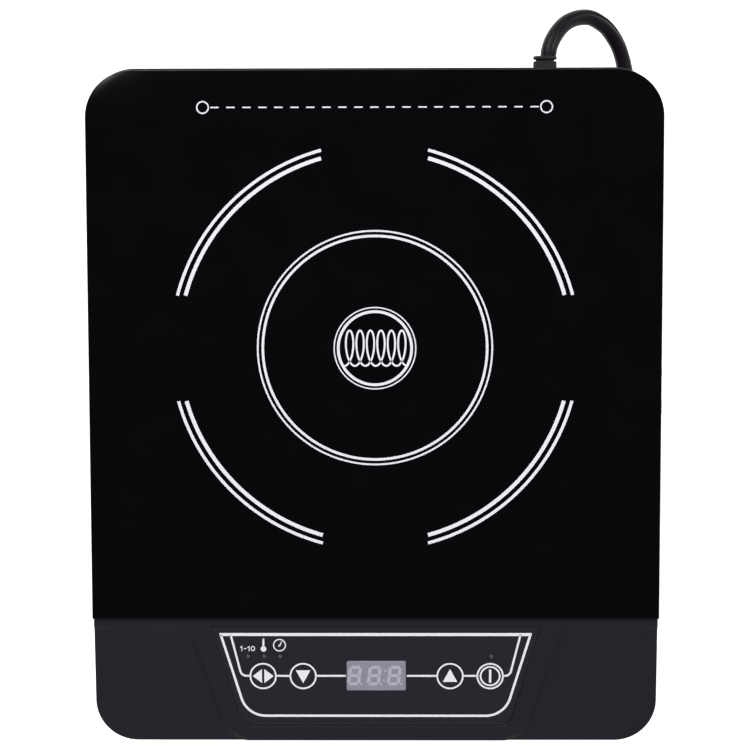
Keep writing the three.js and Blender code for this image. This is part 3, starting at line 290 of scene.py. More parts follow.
def makeBoardMaterial():
    # lacquered circuit board with tracks and tinned pads
    tree, shader = newMaterial("circuitBoard")
    place = objectPlace(tree)
    tracks = addNode(
        tree,
        "TexBrick",
        Vector=place,
        Scale=90.0,
        Mortar_Size=0.06,
        Color1=srgb(34, 84, 52),
        Color2=srgb(40, 96, 60),
        Mortar=srgb(24, 62, 38),
    ).outputs
    pads = addNode(tree, "TexVoronoi", Vector=place, Scale=330.0).outputs["Distance"]
    onPad = addMath(tree, "LESS_THAN", pads, 0.16)
    made = {
        "Base Color": addMix(tree, onPad, tracks["Color"], srgb(190, 190, 184)),
        "Metallic": onPad,
        "Roughness": addMath(tree, "SUBTRACT", 0.45, addMath(tree, "MULTIPLY", onPad, 0.15)),
        "Normal": addBump(tree, tracks["Fac"], 0.3, 0.05),
    }
    fill(tree, shader, made)


def makeWireMaterial(name, dark, bright, scale):
    # bundled strands of enamelled copper wire
    tree, shader = newMaterial(name, Metallic=0.85)
    waves = {"Vector": objectPlace(tree), "Scale": scale, "Distortion": 1.5, "Detail": 2.0}
    strands = addNode(tree, "TexWave", {"bands_direction": "DIAGONAL"}, **waves).outputs["Fac"]
    made = {
        "Base Color": addMix(tree, strands, srgb(*dark), srgb(*bright)),
        "Roughness": addRamp(tree, strands, -1.2, 2.4),
        "Normal": addBump(tree, strands, 0.5, 0.15),
    }
    fill(tree, shader, made)


def makeMicaMaterial():
    # layered flakes, pale and pearly
    tree, shader = newMaterial("micaSheet")
    flakes = addNode(tree, "TexVoronoi", Vector=objectPlace(tree), Scale=140.0)
    hue = addNode(tree, "SeparateColor", Color=flakes.outputs["Color"]).outputs[0]
    tone = addMix(tree, hue, srgb(168, 150, 120), srgb(206, 192, 164))
    fill(tree, shader, {"Base Color": tone, "Roughness": addRamp(tree, hue, -1.0, 1.6)})


makeGlassMaterial()
makeInkMaterial()
makeDisplayMaterial()
makeBoardMaterial()
makeMicaMaterial()
makeWireMaterial("copperWire", (120, 62, 24), (196, 122, 66), 520.0)
makeWireMaterial("chokeWire", (110, 58, 22), (186, 112, 58), 300.0)
mouldedMaterial("casePlastic", (34, 31, 40), 0.42, Specular_IOR_Level=0.2)
for name in ("filmPlastic", "keyPlastic"):
    mouldedMaterial(name, (36, 32, 42), 0.42, 0.04, 5200.0, 0.08, Specular_IOR_Level=0.25)
mouldedMaterial("blackRubber", (28, 26, 29), 0.6, grain=1900.0, bump=0.3, Specular_IOR_Level=0.3)
mouldedMaterial("cordSheath", (24, 19, 26), 0.36, 0.12, 2400.0, 0.2, Specular_IOR_Level=0.18)
mouldedMaterial("darkMoulding", (29, 29, 31), 0.5)
mouldedMaterial("paleMoulding", (214, 208, 196), 0.55, grain=1500.0)
mouldedMaterial("boxedCapacitor", (184, 150, 58), 0.4, grain=1500.0, bump=0.1)
mouldedMaterial("clearLight", (84, 81, 90), 0.3, bump=0.05)
mouldedMaterial("dullSegment", (181, 176, 190), 0.4, bump=0.05)
mouldedMaterial("pressedFerrite", (58, 58, 62), 0.7, drift=0.2, grain=1400.0, bump=0.4)
metalMaterial("platedSteel", (168, 170, 174), 0.28)
metalMaterial("drawnBrass", (196, 164, 92), 0.25, stretch=(1, 20, 1))
metalMaterial("extrudedAluminium", (190, 192, 196), 0.35, stretch=(1, 1, 40))
print("materials ready")


# building and finishing a piece
def placePoint(x, y, z=0.0):
    return Vector((x, y, z)) * mm


def moved(x, y, z=0.0):
    return Matrix.Translation(placePoint(x, y, z))


def fourCorners(x0, x1, y0, y1):
    return (x0, y0), (x1, y0), (x1, y1), (x0, y1)


def cornersRounded(form, corners, segments):
    # corners are (x, y, radius); each one is cut back to a tangent arc
    spots = [placePoint(x, y) for x, y, _ in corners]
    verts = [form.verts.new(spot) for spot in spots]
    form.faces.new(verts)
    arc = {"segments": segments, "profile": 0.5, "affect": "VERTICES", "material": -1}
    for i, (_, _, radius) in enumerate(corners):
        after = spots[(i + 1) % len(spots)]
        half = (spots[i - 1] - spots[i]).angle(after - spots[i]) / 2
        bmesh.ops.bevel(form, geom=[verts[i]], offset=radius * mm / math.tan(half), **arc)
    return [edge for edge in form.edges if edge.is_boundary]


def roundedPlate(corners, low, high, segments, holes=()):
    # a flat plate with rounded corners and round or cornered holes, from low to high
    form = bmesh.new()
    cornersRounded(form, corners, segments)
    bmesh.ops.delete(form, geom=list(form.faces), context="FACES_ONLY")
    for hole in holes:
        if len(hole) == 3:
            x, y, radius = hole
            bmesh.ops.create_circle(form, segments=64, radius=radius * mm, matrix=moved(x, y))
        else:
            verts = [form.verts.new(placePoint(*spot)) for spot in fourCorners(*hole)]
            for i, vert in enumerate(verts):
                form.edges.new((vert, verts[(i + 1) % 4]))
    bmesh.ops.triangle_fill(form, edges=list(form.edges), use_beauty=True)
    bmesh.ops.translate(form, verts=form.verts, vec=placePoint(0, 0, low))
    raised = bmesh.ops.extrude_face_region(form, geom=list(form.faces), use_keep_orig=True)["geom"]
    lifted = [item for item in raised if isinstance(item, bmesh.types.BMVert)]
    bmesh.ops.translate(form, verts=lifted, vec=placePoint(0, 0, high - low))
    return form


def spunForm(profile, segments=64):
    # profile is (radius, height) points, spun round the z axis
    form = bmesh.new()
    verts = [form.verts.new(placePoint(radius, 0, height)) for radius, height in profile]
    edges = [form.edges.new(pair) for pair in zip(verts, verts[1:])]
    fullTurn = {"cent": (0, 0, 0), "axis": (0, 0, 1), "angle": 2 * math.pi, "use_merge": True}
    bmesh.ops.spin(form, geom=verts + edges, steps=segments, **fullTurn)
    bmesh.ops.remove_doubles(form, verts=form.verts, dist=0.0005 * mm)
    return form


def nodeForm(name):
    # a CAD node's shape with its doubles merged and its flat faces joined
    form = bmesh.new()
    form.from_mesh(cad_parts[name].data)
    bmesh.ops.remove_doubles(form, verts=form.verts, dist=0.004 * mm)
    bmesh.ops.dissolve_limit(form, angle_limit=math.radians(1), verts=form.verts, edges=form.edges)
    return form


def newPiece(name, form, material, slot, body="base", stands=(), place=None, smooth=32):
    if place is not None:
        form.transform(place)
    bmesh.ops.recalc_face_normals(form, faces=form.faces)
    mesh = bpy.data.meshes.new(name)
    form.to_mesh(mesh)
    form.free()
    mesh.materials.append(materials[material])
    mesh.shade_smooth()
    mesh.set_sharp_from_angle(angle=math.radians(smooth))
    piece = bpy.data.objects.new(name, mesh)
    scene.collection.objects.link(piece)
    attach(piece, body)
    if stands:
        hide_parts(*stands)
    return piece


def softEdges(piece, width, segments=2, angle=32):
    bevel = piece.modifiers.new("soft edges", "BEVEL")
    bevel.width = width * mm
    bevel.segments = segments
    bevel.limit_method = "WEIGHT" if "bevel_weight_edge" in piece.data.attributes else "ANGLE"
    bevel.angle_limit = math.radians(angle)
    bevel.use_clamp_overlap = False
    weighted = piece.modifiers.new("even shading", "WEIGHTED_NORMAL")
    weighted.keep_sharp = True
    weighted.weight = 100
    return piece


def dressNode(node, material, slot, width=0.2, body="base", name=None):
    piece = newPiece(name or node + "_dressed", nodeForm(node), material, slot, body, stands=(node,))
    return softEdges(piece, width)


# mains lead: out of the rear wall, over to the right, and put away in a coil under the case
lead = {
    "diameter": 8,
    "fullness": 1.02,
    "length": 1380,
    "exit": (88.6, 179.1, 38),
    "route": [
        (88.3, 177.6, 38.0), (88.6, 180.9, 38.0), (89.3, 183.9, 37.6), (90.9, 187.6, 36.8),
        (93.8, 192.0, 35.0), (98.0, 196.0, 32.5), (103.7, 198.5, 29.1), (110.2, 198.9, 25.4),
        (115.8, 196.6, 21.6), (120.3, 193.3, 17.9), (123.8, 189.1, 14.8), (126.7, 184.4, 12.3),
        (128.7, 179.3, 10.5), (130.0, 174.1, 9.2), (131.6, 165.6, 7.4), (133.3, 156.9, 5.8),
        (135.3, 148.0, 5.05), (137.2, 141.4, 4.9), (139.3, 135.6, 4.9),
    ],
    "coilMiddle": (82, 105.9),
    "coilRest": 4.9,
    "coilRadius": 64,
    "coilPitch": 8.75,
    "coilStart": 20,
    "coilEnd": 138,
    "coilFullTurns": 3,
    "stepsPerTurn": 24,
    "crossing": [
        (120, 31.3, 5.1), (100, 30.8, 6.0), (80, 30.7, 8.2), (60, 31.6, 11.1), (42, 35.0, 13.5),
        (24, 40.6, 14.0), (8, 47.5, 14.0), (-8, 54.5, 14.0), (-22, 61.0, 14.0), (-33, 67.2, 13.3),
    ],
    "plugEntry": [(138.3, 58.3, 10.2), (138.3, 50.3, 10.2)],
    "smoothing": 4,
    "seamStart": -26,  # degrees from the top of the sheath, towards the outside of the bend
    "seamTwist": 1.6,  # degrees for each millimetre
    "seamEnd": 100,
    "seamDepth": 0.9,
    "seamSpread": 11,
    # degrees to each side of the seam
    "ringTurns": (0, 5, 10, 15, 22, 34, 48, 64, 82, 100, 120, 140, 160, 180),
}


def coilSpot(degrees, radius, height):
    angle = math.radians(degrees)
    x, y = lead["coilMiddle"]
    return x + radius * math.cos(angle), y + radius * math.sin(angle), height


def leadPoints():
    turns = lead["coilFullTurns"] + (lead["coilStart"] - lead["coilEnd"] + 360) / 360
    steps = round(turns * lead["stepsPerTurn"])
    points = list(lead["route"])
    for i in range(steps + 1):
        turn = turns * i / steps
        radius = lead["coilRadius"] - lead["coilPitch"] * turn
        points.append(coilSpot(lead["coilStart"] - 360 * turn, radius, lead["coilRest"]))
    points += [coilSpot(*station) for station in lead["crossing"]]
    return points + lead["plugEntry"]


def smoothLine(points, steps):
    # a curve through all the points, with steps pieces from each to the next
    spots = [placePoint(*point) for point in points]
    spots = [spots[0] * 2 - spots[1]] + spots + [spots[-1] * 2 - spots[-2]]
    line = []
    for before, start, end, after in zip(spots, spots[1:], spots[2:], spots[3:]):
        for i in range(steps):
            t = i / steps
            bend = before * (-t + 2 * t**2 - t**3) + start * (2 - 5 * t**2 + 3 * t**3)
            line.append((bend + end * (t + 4 * t**2 - 3 * t**3) + after * (t**3 - t**2)) / 2)
    return line + [spots[-2]]


def sheathForm(line):
    # the round sheath, with a shallow seam that winds slowly round it
    form = bmesh.new()
    radius = lead["diameter"] * lead["fullness"] / 2
    turns = [-turn for turn in lead["ringTurns"][:0:-1]] + list(lead["ringTurns"][:-1])
    run, rings = 0, []
    for i, spot in enumerate(line):
        run += (spot - line[i - 1]).length / mm if i else 0
        ahead = (line[min(i + 1, len(line) - 1)] - line[max(i - 1, 0)]).normalized()
        side = Vector((0, 0, 1)).cross(ahead).normalized()
        top = ahead.cross(side)
        seam = min(lead["seamStart"] + lead["seamTwist"] * run, lead["seamEnd"])
        ring = []
        for turn in turns:
            reach = radius - lead["seamDepth"] * math.exp(-((turn / lead["seamSpread"]) ** 2))
            angle = math.radians(turn + seam)
            way = top * math.cos(angle) + side * math.sin(angle)
            ring.append(form.verts.new(spot + way * reach * mm))
        rings.append(ring)
    for before, after in zip(rings, rings[1:]):
        for j in range(len(turns)):
            form.faces.new((before[j - 1], before[j], after[j], after[j - 1]))
    form.faces.new(rings[0])
    form.faces.new(rings[-1])
    return form


def makeGrommet():
    # turned along the lead's way out: flange inside the wall, collar, neck and rib outside
    settings = {"x": 86.7, "rear": 172.4, "height": 38, "bore": 4.3}
    bore = settings["bore"]
    profile = [
        (bore, -15.0), (5.1, -15.0), (5.4, -14.7), (5.4, -5.0), (7.7, -5.0), (8.0, -4.7),
        (8.0, -3.1), (7.7, -2.8), (5.0, -2.8), (5.0, 0.3), (5.7, 0.3), (6.0, 0.6), (6.0, 3.4),
        (5.7, 3.8), (4.9, 3.8), (4.7, 4.0), (4.7, 4.4), (4.9, 4.6), (5.6, 4.6), (6.0, 4.95),
        (6.0, 6.0), (5.6, 6.4), (bore + 0.35, 6.4), (bore, 6.1),
    ]
    place = moved(settings["x"], settings["rear"], settings["height"])
    place = place @ Matrix.Rotation(math.radians(-90), 4, "X")
    form, stands = spunForm(profile), ("cord_grommet",)
    return newPiece("lead_grommet", form, "blackRubber", "rubber", stands=stands, place=place)


plug = {
    "place": moved(138.3, 50, 10.2) @ Matrix.Rotation(math.radians(90), 4, "X"),
    "sleeve": 22,
    "sleeveRadius": 5,
    "sleeveFlare": 2,  # how much wider the sleeve gets along its length
    "ribs": 6,
    "length": 36,
    "width": 24.4,
    "thickness": 20,
    "corner": 4,
    "gripBars": 5,
    "gripReach": 11.5,
    "gripStart": 17.7,  # from the end of the sleeve
    "gripPitch": 1.9,
    "gripSize": (1.2, 11, 1),
    "gripSoftEdge": 0.3,
}


def makePlugBody():
    # shoulders, body and a waist for the grip bars
    form = bmesh.new()
    sleeve, end = plug["sleeve"], plug["sleeve"] + plug["length"]
    half, thick = plug["width"] / 2, plug["thickness"] / 2
    stations = [
        (sleeve - 1, 0.56, 0.68), (sleeve + 0.6, 0.6, 0.72), (sleeve + 4, 0.86, 0.92),
        (sleeve + 8, 0.97, 0.985), (sleeve + 12, 1.0, 1.0), (sleeve + 15, 1.0, 1.0),
        (sleeve + 16, 0.95, 0.96), (sleeve + 27, 0.95, 0.96), (sleeve + 28, 1.0, 1.0),
        (end - 1.2, 1.0, 1.0), (end - 0.4, 0.985, 0.98), (end, 0.94, 0.93),
    ]
    outline = [(x, y, plug["corner"]) for x, y in fourCorners(-half, half, -thick, thick)]
    edges = cornersRounded(form, outline, 6)
    ring = {vert for edge in edges for vert in edge.verts}
    level, wide, deep = stations[0]
    bmesh.ops.scale(form, vec=(wide, deep, 1), verts=list(ring))
    bmesh.ops.translate(form, verts=list(ring), vec=placePoint(0, 0, level))
    form.faces.ensure_lookup_table()
    face = form.faces[0]
    for i, (height, wider, deeper) in enumerate(stations[1:]):
        grown = bmesh.ops.extrude_face_region(form, geom=[face], use_keep_orig=i == 0)["geom"]
        face = next(item for item in grown if isinstance(item, bmesh.types.BMFace))
        verts = list(face.verts)
        bmesh.ops.scale(form, vec=(wider / wide, deeper / deep, 1), verts=verts)
        bmesh.ops.translate(form, verts=verts, vec=placePoint(0, 0, height - level))
        level, wide, deep = height, wider, deeper
    return form


def makePlug():
    rubber = {"material": "blackRubber", "slot": "rubber", "place": plug["place"]}
    body = newPiece("plug_moulding", makePlugBody(), stands=("plug_body",), **rubber)
    sleeve = []
    step = (plug["sleeve"] - 1) / plug["ribs"]
    for i in range(plug["ribs"]):
        base = 0.4 + i * step
        radius = plug["sleeveRadius"] + plug["sleeveFlare"] * base / plug["sleeve"]
        sleeve += [(radius - 0.55, base), (radius, base + 0.4), (radius + 0.15, base + step - 1.3)]
        sleeve.append((radius - 0.45, base + step - 0.9))
    profile = [(4.05, 0.6), (4.4, 0.1)] + sleeve + [(6.4, plug["sleeve"] + 1), (0, plug["sleeve"] + 1)]
    relief = newPiece("plug_sleeve", spunForm(profile, 48), **rubber)
    bars = bmesh.new()
    size = Matrix.Diagonal([side * mm for side in plug["gripSize"]] + [1])
    for i in range(plug["gripBars"]):
        height = plug["sleeve"] + plug["gripStart"] + plug["gripPitch"] * i
        for side in (-1, 1):
            place = moved(side * plug["gripReach"], 0, height)
            bmesh.ops.create_cube(bars, size=1, matrix=place @ size)
    grips = newPiece("plug_grips", bars, **rubber)
    softEdges(grips, plug["gripSoftEdge"])
    blades = [dressNode(node, "drawnBrass", "brass", 0.25) for node in ("line_blade", "neutral_blade")]
    pin = dressNode("earth_pin", "drawnBrass", "brass", 0.6)
    return [body, relief, grips, pin] + blades


def makeLead():
    line = smoothLine(leadPoints(), lead["smoothing"])
    stands = ("power_cord", "cord_coil")
    tube = newPiece("mains_lead", sheathForm(line), "cordSheath", "rubber", stands=stands, smooth=60)
    tie = dressNode("cord_tie", "platedSteel", "steel", 0.15, name="coil_tie")
    makePlug() + [tie, makeGrommet()]


makeLead()
print("lead ready")


# glass plate with ground edges
def makeGlassPlate():
    settings = {"box": (-145, 145, -107.35, 171.45), "low": 58, "high": 61.95, "arris": 0.3}
    radii = (0.8, 0.8, 23.5, 23.5)  # front corners, then rear ones
    corners = [(x, y, radius) for (x, y), radius in zip(fourCorners(*settings["box"]), radii)]
    form = roundedPlate(corners, settings["low"], settings["high"], 24)
    rim = [edge for edge in form.edges if edge.calc_face_angle(0) > math.radians(60)]
    rim = [edge for edge in rim if abs(edge.verts[0].co.z - edge.verts[1].co.z) < 0.01 * mm]
    arc = {"segments": 3, "profile": 0.5, "affect": "EDGES", "material": -1}
    bmesh.ops.bevel(form, geom=rim, offset=settings["arris"] * mm, **arc)
    newPiece("glass_top", form, "blackGlass", "glass", stands=("glass_plate",), smooth=50)


makeGlassPlate()


# housings, cut as in the solids, with softened edges
housing = {
    "softEdge": 0.35,
    "leastTurn": 32,  # degrees between faces whose edge is softened
    "contourTurn": 40,
    "contourEnd": -171.5,  # y, in mm, in front of which the contour stays sharp
}


def makeUpperHousing():
    form = nodeForm("top_housing")
    bmesh.ops.recalc_face_normals(form, faces=form.faces)
    weight = form.edges.layers.float.new("bevel_weight_edge")
    for edge in form.edges:
        turn = math.degrees(edge.calc_face_angle(0))
        atEnd = min(vert.co.y for vert in edge.verts) < housing["contourEnd"] * mm
        # the low contour of the wings isn't softened where it runs out at the front edge
        edge[weight] = turn > housing["leastTurn"] and not (atEnd and turn < housing["contourTurn"])
    piece = newPiece("upper_housing", form, "casePlastic", "case_plastic", stands=("top_housing",))
    softEdges(piece, housing["softEdge"])


def makeLowerHousing():
    form = nodeForm("bottom_housing")
    piece = newPiece("lower_housing", form, "casePlastic", "case_plastic", stands=("bottom_housing",))
    softEdges(piece, housing["softEdge"])


makeUpperHousing()
makeLowerHousing()
print("case ready")

# control panel, in its own frame: x across, y up the slope with 0 at the glass
panel = {
    "keyRow": -30.6,
    "lightRow": -20.25,
    "keys": {"mode": -57.9, "down": -37.3, "up": 38.3, "power": 58.9},
    "lights": (-65.6, -57.3, -49.0, 59.5),
    "display": (-14.95, 15.6, -38.5, -22.65),
    "keyHole": 7.25,
    "lightHole": 1.0,
    "filmGap": 0.08,
    "filmBase": -1.3,
    "filmTop": -0.5,
    "keyTop": -0.1,
    "film": [(-68.7, -57.4, 8), (68.7, -57.4, 8), (84.8, -4.2, 0.8), (-84.8, -4.2, 0.8)],
}


def makeFilm():
    settings = {"windowGap": 0.15, "softEdge": 0.08, "softTurn": 50}
    gap = panel["filmGap"]
    inset = ((gap, gap), (-gap, gap), (-gap, -gap), (gap, -gap))
    corners = [(x + dx, y + dy, r) for (x, y, r), (dx, dy) in zip(panel["film"], inset)]
    holes = [(x, panel["keyRow"], panel["keyHole"]) for x in panel["keys"].values()]
    holes += [(x, panel["lightRow"], panel["lightHole"]) for x in panel["lights"]]
    x0, x1, y0, y1 = panel["display"]
    gap = settings["windowGap"]
    holes.append((x0 - gap, x1 + gap, y0 - gap, y1 + gap))
    form = roundedPlate(corners, panel["filmBase"], panel["filmTop"], 12, holes)
    stands = ("control_film",)
    piece = newPiece("panel_film", form, "filmPlastic", "film", stands=stands, place=panelPlace)
    softEdges(piece, settings["softEdge"], angle=settings["softTurn"])


def makeKey(name, x):
    top = panel["keyTop"]
    profile = [
        (0, top), (6.55, top), (6.82, top - 0.05), (6.99, top - 0.18), (7.05, top - 0.4), (7.05, -4.4),
        (8.4, -4.4), (8.6, -4.6), (8.6, -5.3), (2.2, -5.5), (2.2, -7.1), (0, -7.1),
    ]
    form, body, stands = spunForm(profile, 96), name + "_button", (name + "_key",)
    place = panelPlace @ moved(x, panel["keyRow"])
    newPiece(name + "_cap", form, "keyPlastic", "key_plastic", body, stands=stands, place=place)


def makeWindow():
    settings = {"radius": 0.6, "softEdge": 0.3}
    corners = [(x, y, settings["radius"]) for x, y in fourCorners(*panel["display"])]
    form = roundedPlate(corners, panel["filmBase"], panel["filmTop"], 6)
    stands = ("display_window",)
    piece = newPiece("window", form, "displayFront", "window", stands=stands, place=panelPlace)
    softEdges(piece, settings["softEdge"], 3)


def makeLight(node, x):
    profile = [(0, -0.5), (0.85, -0.5), (0.95, -0.58), (0.95, -4.3)]
    form = spunForm(profile + [(1.6, -4.3), (1.6, -6.0), (0, -6.0)], 32)
    place = panelPlace @ moved(x, panel["lightRow"])
    newPiece(node + "_lens", form, "clearLight", "light", stands=(node,), place=place)


makeFilm()
for name, x in panel["keys"].items():
    makeKey(name, x)
makeWindow()
for node, x in zip(("mode_light_1", "mode_light_2", "mode_light_3", "power_light"), panel["lights"]):
    makeLight(node, x)
print("panel ready")


# prints, a few hundredths of a millimetre proud of what carries them
def strokePrint(form, points, width, closed=False):
    # a pen line of even width, mitred at its corners
    spots = [Vector(point) for point in points]
    count = len(spots)
    rails = []
    for i, spot in enumerate(spots):
        before = spots[i - 1] if i or closed else spot
        after = spots[(i + 1) % count] if i < count - 1 or closed else spot
        ways = [way.normalized() for way in (spot - before, after - spot) if way.length]
        middle = sum(ways, Vector((0, 0))).normalized()
        reach = width / 2 / max(0.4, middle.dot(ways[0]))  # sharp corners are cut short
        side = Vector((-middle.y, middle.x)) * reach
        rails.append([form.verts.new(placePoint(*edge)) for edge in (spot + side, spot - side)])
    if closed:
        rails.append(rails[0])
    for (left, right), (nextLeft, nextRight) in zip(rails, rails[1:]):
        form.faces.new((left, right, nextRight, nextLeft))


def circleLine(x, y, radius, steps, start=0, sweep=360):
    count = steps if sweep == 360 else steps + 1
    turns = [math.radians(start + sweep * i / steps) for i in range(count)]
    return [(x + radius * math.cos(turn), y + radius * math.sin(turn)) for turn in turns]


def ringPrint(form, x, y, radius, width, steps):
    strokePrint(form, circleLine(x, y, radius, steps), width, closed=True)


def fillPrint(form, points):
    form.faces.new([form.verts.new(placePoint(*point)) for point in points])


def newPrint(name, form, slot, place, body="base", material="whiteInk", lift=0.04):
    newPiece(name, form, material, slot, body, place=place @ moved(0, 0, lift))


glassPlace = moved(0.096, 31.8, 61.95)


def makeZonePrint():
    zone = {
        "rings": [(59.23, 0.9), (56.68, 1.3), (20.62, 0.65), (18.54, 1.4)],
        "arcs": [(103.15, 1.55), (99.22, 1.95)],
        "arcEdge": 26.8,
    }
    form = bmesh.new()
    for radius, width in zone["rings"]:
        ringPrint(form, 0, 0, radius, width, 192)
    for radius, width in zone["arcs"]:
        start = math.degrees(math.asin(zone["arcEdge"] / radius))
        for quarter in range(4):
            line = circleLine(0, 0, radius, 64, start + 90 * quarter, 90 - 2 * start)
            strokePrint(form, line, width)
    newPrint("zone_print", form, "glass", glassPlace)


def makeCoilSymbol():
    loop = {
        "count": 6,
        "pitch": 5.28,
        "start": -12.8,
        "width": 3.09,
        "middle": 0.03,
        "height": 8.95,
        "pen": 0.95,
        "lift": 0.05,
    }
    form = bmesh.new()
    line = []
    for degrees in range(-180, 360 * (loop["count"] - 1) + 181, 6):
        angle = math.radians(degrees)
        x = loop["start"] + loop["pitch"] * degrees / 360 - loop["width"] * math.sin(angle)
        line.append((x, loop["middle"] + loop["height"] * math.cos(angle)))
    strokePrint(form, line, loop["pen"])
    newPrint("coil_symbol", form, "glass", glassPlace, lift=loop["lift"])


def makeRulePrint():
    # a plain dashed rule with a small open circle at each end
    rule = {"row": 121, "half": 80, "dash": 4.2, "gap": 3.8, "pen": 0.7, "circle": 2.9, "circleGap": 6}
    form = bmesh.new()
    half, row, pen = rule["half"], rule["row"], rule["pen"]
    dash, pitch = rule["dash"] / 2, rule["dash"] + rule["gap"]
    count = int(2 * half / pitch) + 1
    first = -(count - 1) * pitch / 2
    for i in range(count):
        x = first + i * pitch
        strokePrint(form, [(x - dash, row), (x + dash, row)], pen)
    for side in (-1, 1):
        ringPrint(form, side * (half + rule["circleGap"]), row, rule["circle"], pen, 48)
    newPrint("edge_rule", form, "glass", glassPlace)


makeZonePrint()
makeCoilSymbol()
makeRulePrint()

# prints on the panel
filmPlace = panelPlace @ moved(0, 0, panel["filmTop"])
framePrint = {
    "top": -8.57,
    "topPen": 1.6,
    "topHalf": 80.1,
    "bottom": -51.98,
    "bottomHalf": 66.4,
    "sidePen": 1.25,
    "corner": 13,
    "innerTop": 74.4,
    "innerKnee": (70.0, -26.56),
    "innerRow": -30.57,
    "innerCorner": 3.2,
    "innerPen": 1.05,
    "keyGap": 6.5,  # from the middle of a key to the line that ends at it
    "windowGaps": (0.45, 0.5),
}


def bendLine(start, corner, end, radius, steps=16):
    # start to end round a corner, with an arc tangent to both legs
    start, corner, end = Vector(start), Vector(corner), Vector(end)
    inward, outward = (start - corner).normalized(), (end - corner).normalized()
    half = inward.angle(outward) / 2
    middle = corner + (inward + outward).normalized() * (radius / math.sin(half))
    run = radius / math.tan(half)
    first, last = corner + inward * run - middle, corner + outward * run - middle
    line = [start]
    for i in range(steps + 1):
        line.append(middle + first.normalized().slerp(last.normalized(), i / steps) * radius)
    return line + [end]


def makeFramePrint():
    form = bmesh.new()
    top, bottom = framePrint["top"], framePrint["bottom"]
    half, low = framePrint["topHalf"], framePrint["bottomHalf"]
    gap = framePrint["keyGap"]
    strokePrint(form, [(-half, top), (half, top)], framePrint["topPen"])
    for side in (-1, 1):
        start = (side * (half - framePrint["sidePen"] / 2), top)
        sideLine = bendLine(start, (side * low, bottom), (0, bottom), framePrint["corner"])
        strokePrint(form, sideLine, framePrint["sidePen"])
        kneeX, kneeY = framePrint["innerKnee"]
        innerRow, innerTop = framePrint["innerRow"], framePrint["innerTop"]
        slope = (innerTop - kneeX) / (top - kneeY)
        cornerX = kneeX + slope * (innerRow - kneeY)
        key = panel["keys"]["power" if side > 0 else "mode"]
        inner = [(side * innerTop, top), (side * cornerX, innerRow), (key + side * gap, innerRow)]
        strokePrint(form, bendLine(*inner, framePrint["innerCorner"]), framePrint["innerPen"])
    x0, x1, _, _ = panel["display"]
    left, right = framePrint["windowGaps"]
    mode, down, up, power = panel["keys"].values()
    stops = [mode + gap, down - gap, down + gap, x0 - left, x1 + right, up - gap, up + gap, power - gap]
    row = panel["keyRow"]
    for start, end in zip(stops[::2], stops[1::2]):
        strokePrint(form, [(start, row), (end, row)], framePrint["innerPen"])
    return form


def addNumbers(form):
    # the range 1-10, in pen strokes
    numbers = {
        "spot": (-65.75, -16.05),
        "height": 2.75,
        "pen": 0.44,
        "stems": (-2.95, 0.8),
        "flag": (0.85, 0.65),
        "dash": (-2.0, -0.55),
        "zero": 2.7,
        "zeroWidth": 1.75,
    }
    (x, y), pen, (flagX, flagY) = numbers["spot"], numbers["pen"], numbers["flag"]
    tall = (numbers["height"] - pen) / 2
    for step in numbers["stems"]:
        stem = x + step
        one = [(stem - flagX, y + tall - flagY), (stem, y + tall), (stem, y - tall - pen / 2)]
        strokePrint(form, one, pen)
    strokePrint(form, [(x + step, y) for step in numbers["dash"]], pen)
    middle, squeeze = x + numbers["zero"], numbers["zeroWidth"] / 2 / tall
    zero = [(middle + (px - middle) * squeeze, py) for px, py in circleLine(middle, y, tall, 32)]
    strokePrint(form, zero, pen, closed=True)


def addThermometer(form):
    settings = {"x": -57.6, "top": -10.63, "bulb": -16.24, "bulbRadius": 1.45, "pen": 1.05}
    x, top, bulb, radius, pen = settings.values()
    strokePrint(form, [(x, top - pen / 2), (x, bulb + 1)], pen)
    fillPrint(form, circleLine(x, top - pen / 2, pen / 2, 16))
    fillPrint(form, circleLine(x, bulb, radius, 32))


def addClock(form):
    settings = {"x": -49.35, "y": -14.24, "radius": 3.05, "pen": 0.62}
    x, y, radius, pen = settings.values()
    ringPrint(form, x, y, radius, pen, 48)
    fillPrint(form, circleLine(x - 0.15, y - 0.3, 0.55, 16))
    hand = [(-0.5, -0.75), (0.45, -0.35), (1.35, 1.85), (0.9, 1.95)]
    fillPrint(form, [(x + dx, y + dy) for dx, dy in hand])


def makeKeyPrints():
    ring = {"radius": 6.58, "pen": 0.88}
    powerSign = {"radius": 4.9, "pen": 0.9, "stroke": 3.5, "strokePen": 1.2}
    shapes = {
        "mode": [[(-5.35, 0), (-0.6, -3.74), (-0.6, 3.74)], [(5.45, 0), (0.6, 3.74), (0.6, -3.74)]],
        "down": [[(-3.78, 3.1), (0, -3.84), (3.78, 3.1)]],
        "up": [[(-3.73, -3.1), (3.73, -3.1), (0, 3.84)]],
        "power": [],
    }
    for name, x in panel["keys"].items():
        form = bmesh.new()
        ringPrint(form, 0, 0, ring["radius"], ring["pen"], 96)
        for shape in shapes[name]:
            fillPrint(form, shape)
        if name == "power":
            ringPrint(form, 0, 0, powerSign["radius"], powerSign["pen"], 96)
            stroke = powerSign["stroke"]
            strokePrint(form, [(0, -stroke), (0, stroke)], powerSign["strokePen"])
        place = panelPlace @ moved(x, panel["keyRow"], panel["keyTop"])
        newPrint(name + "_print", form, "key_plastic", place, name + "_button")


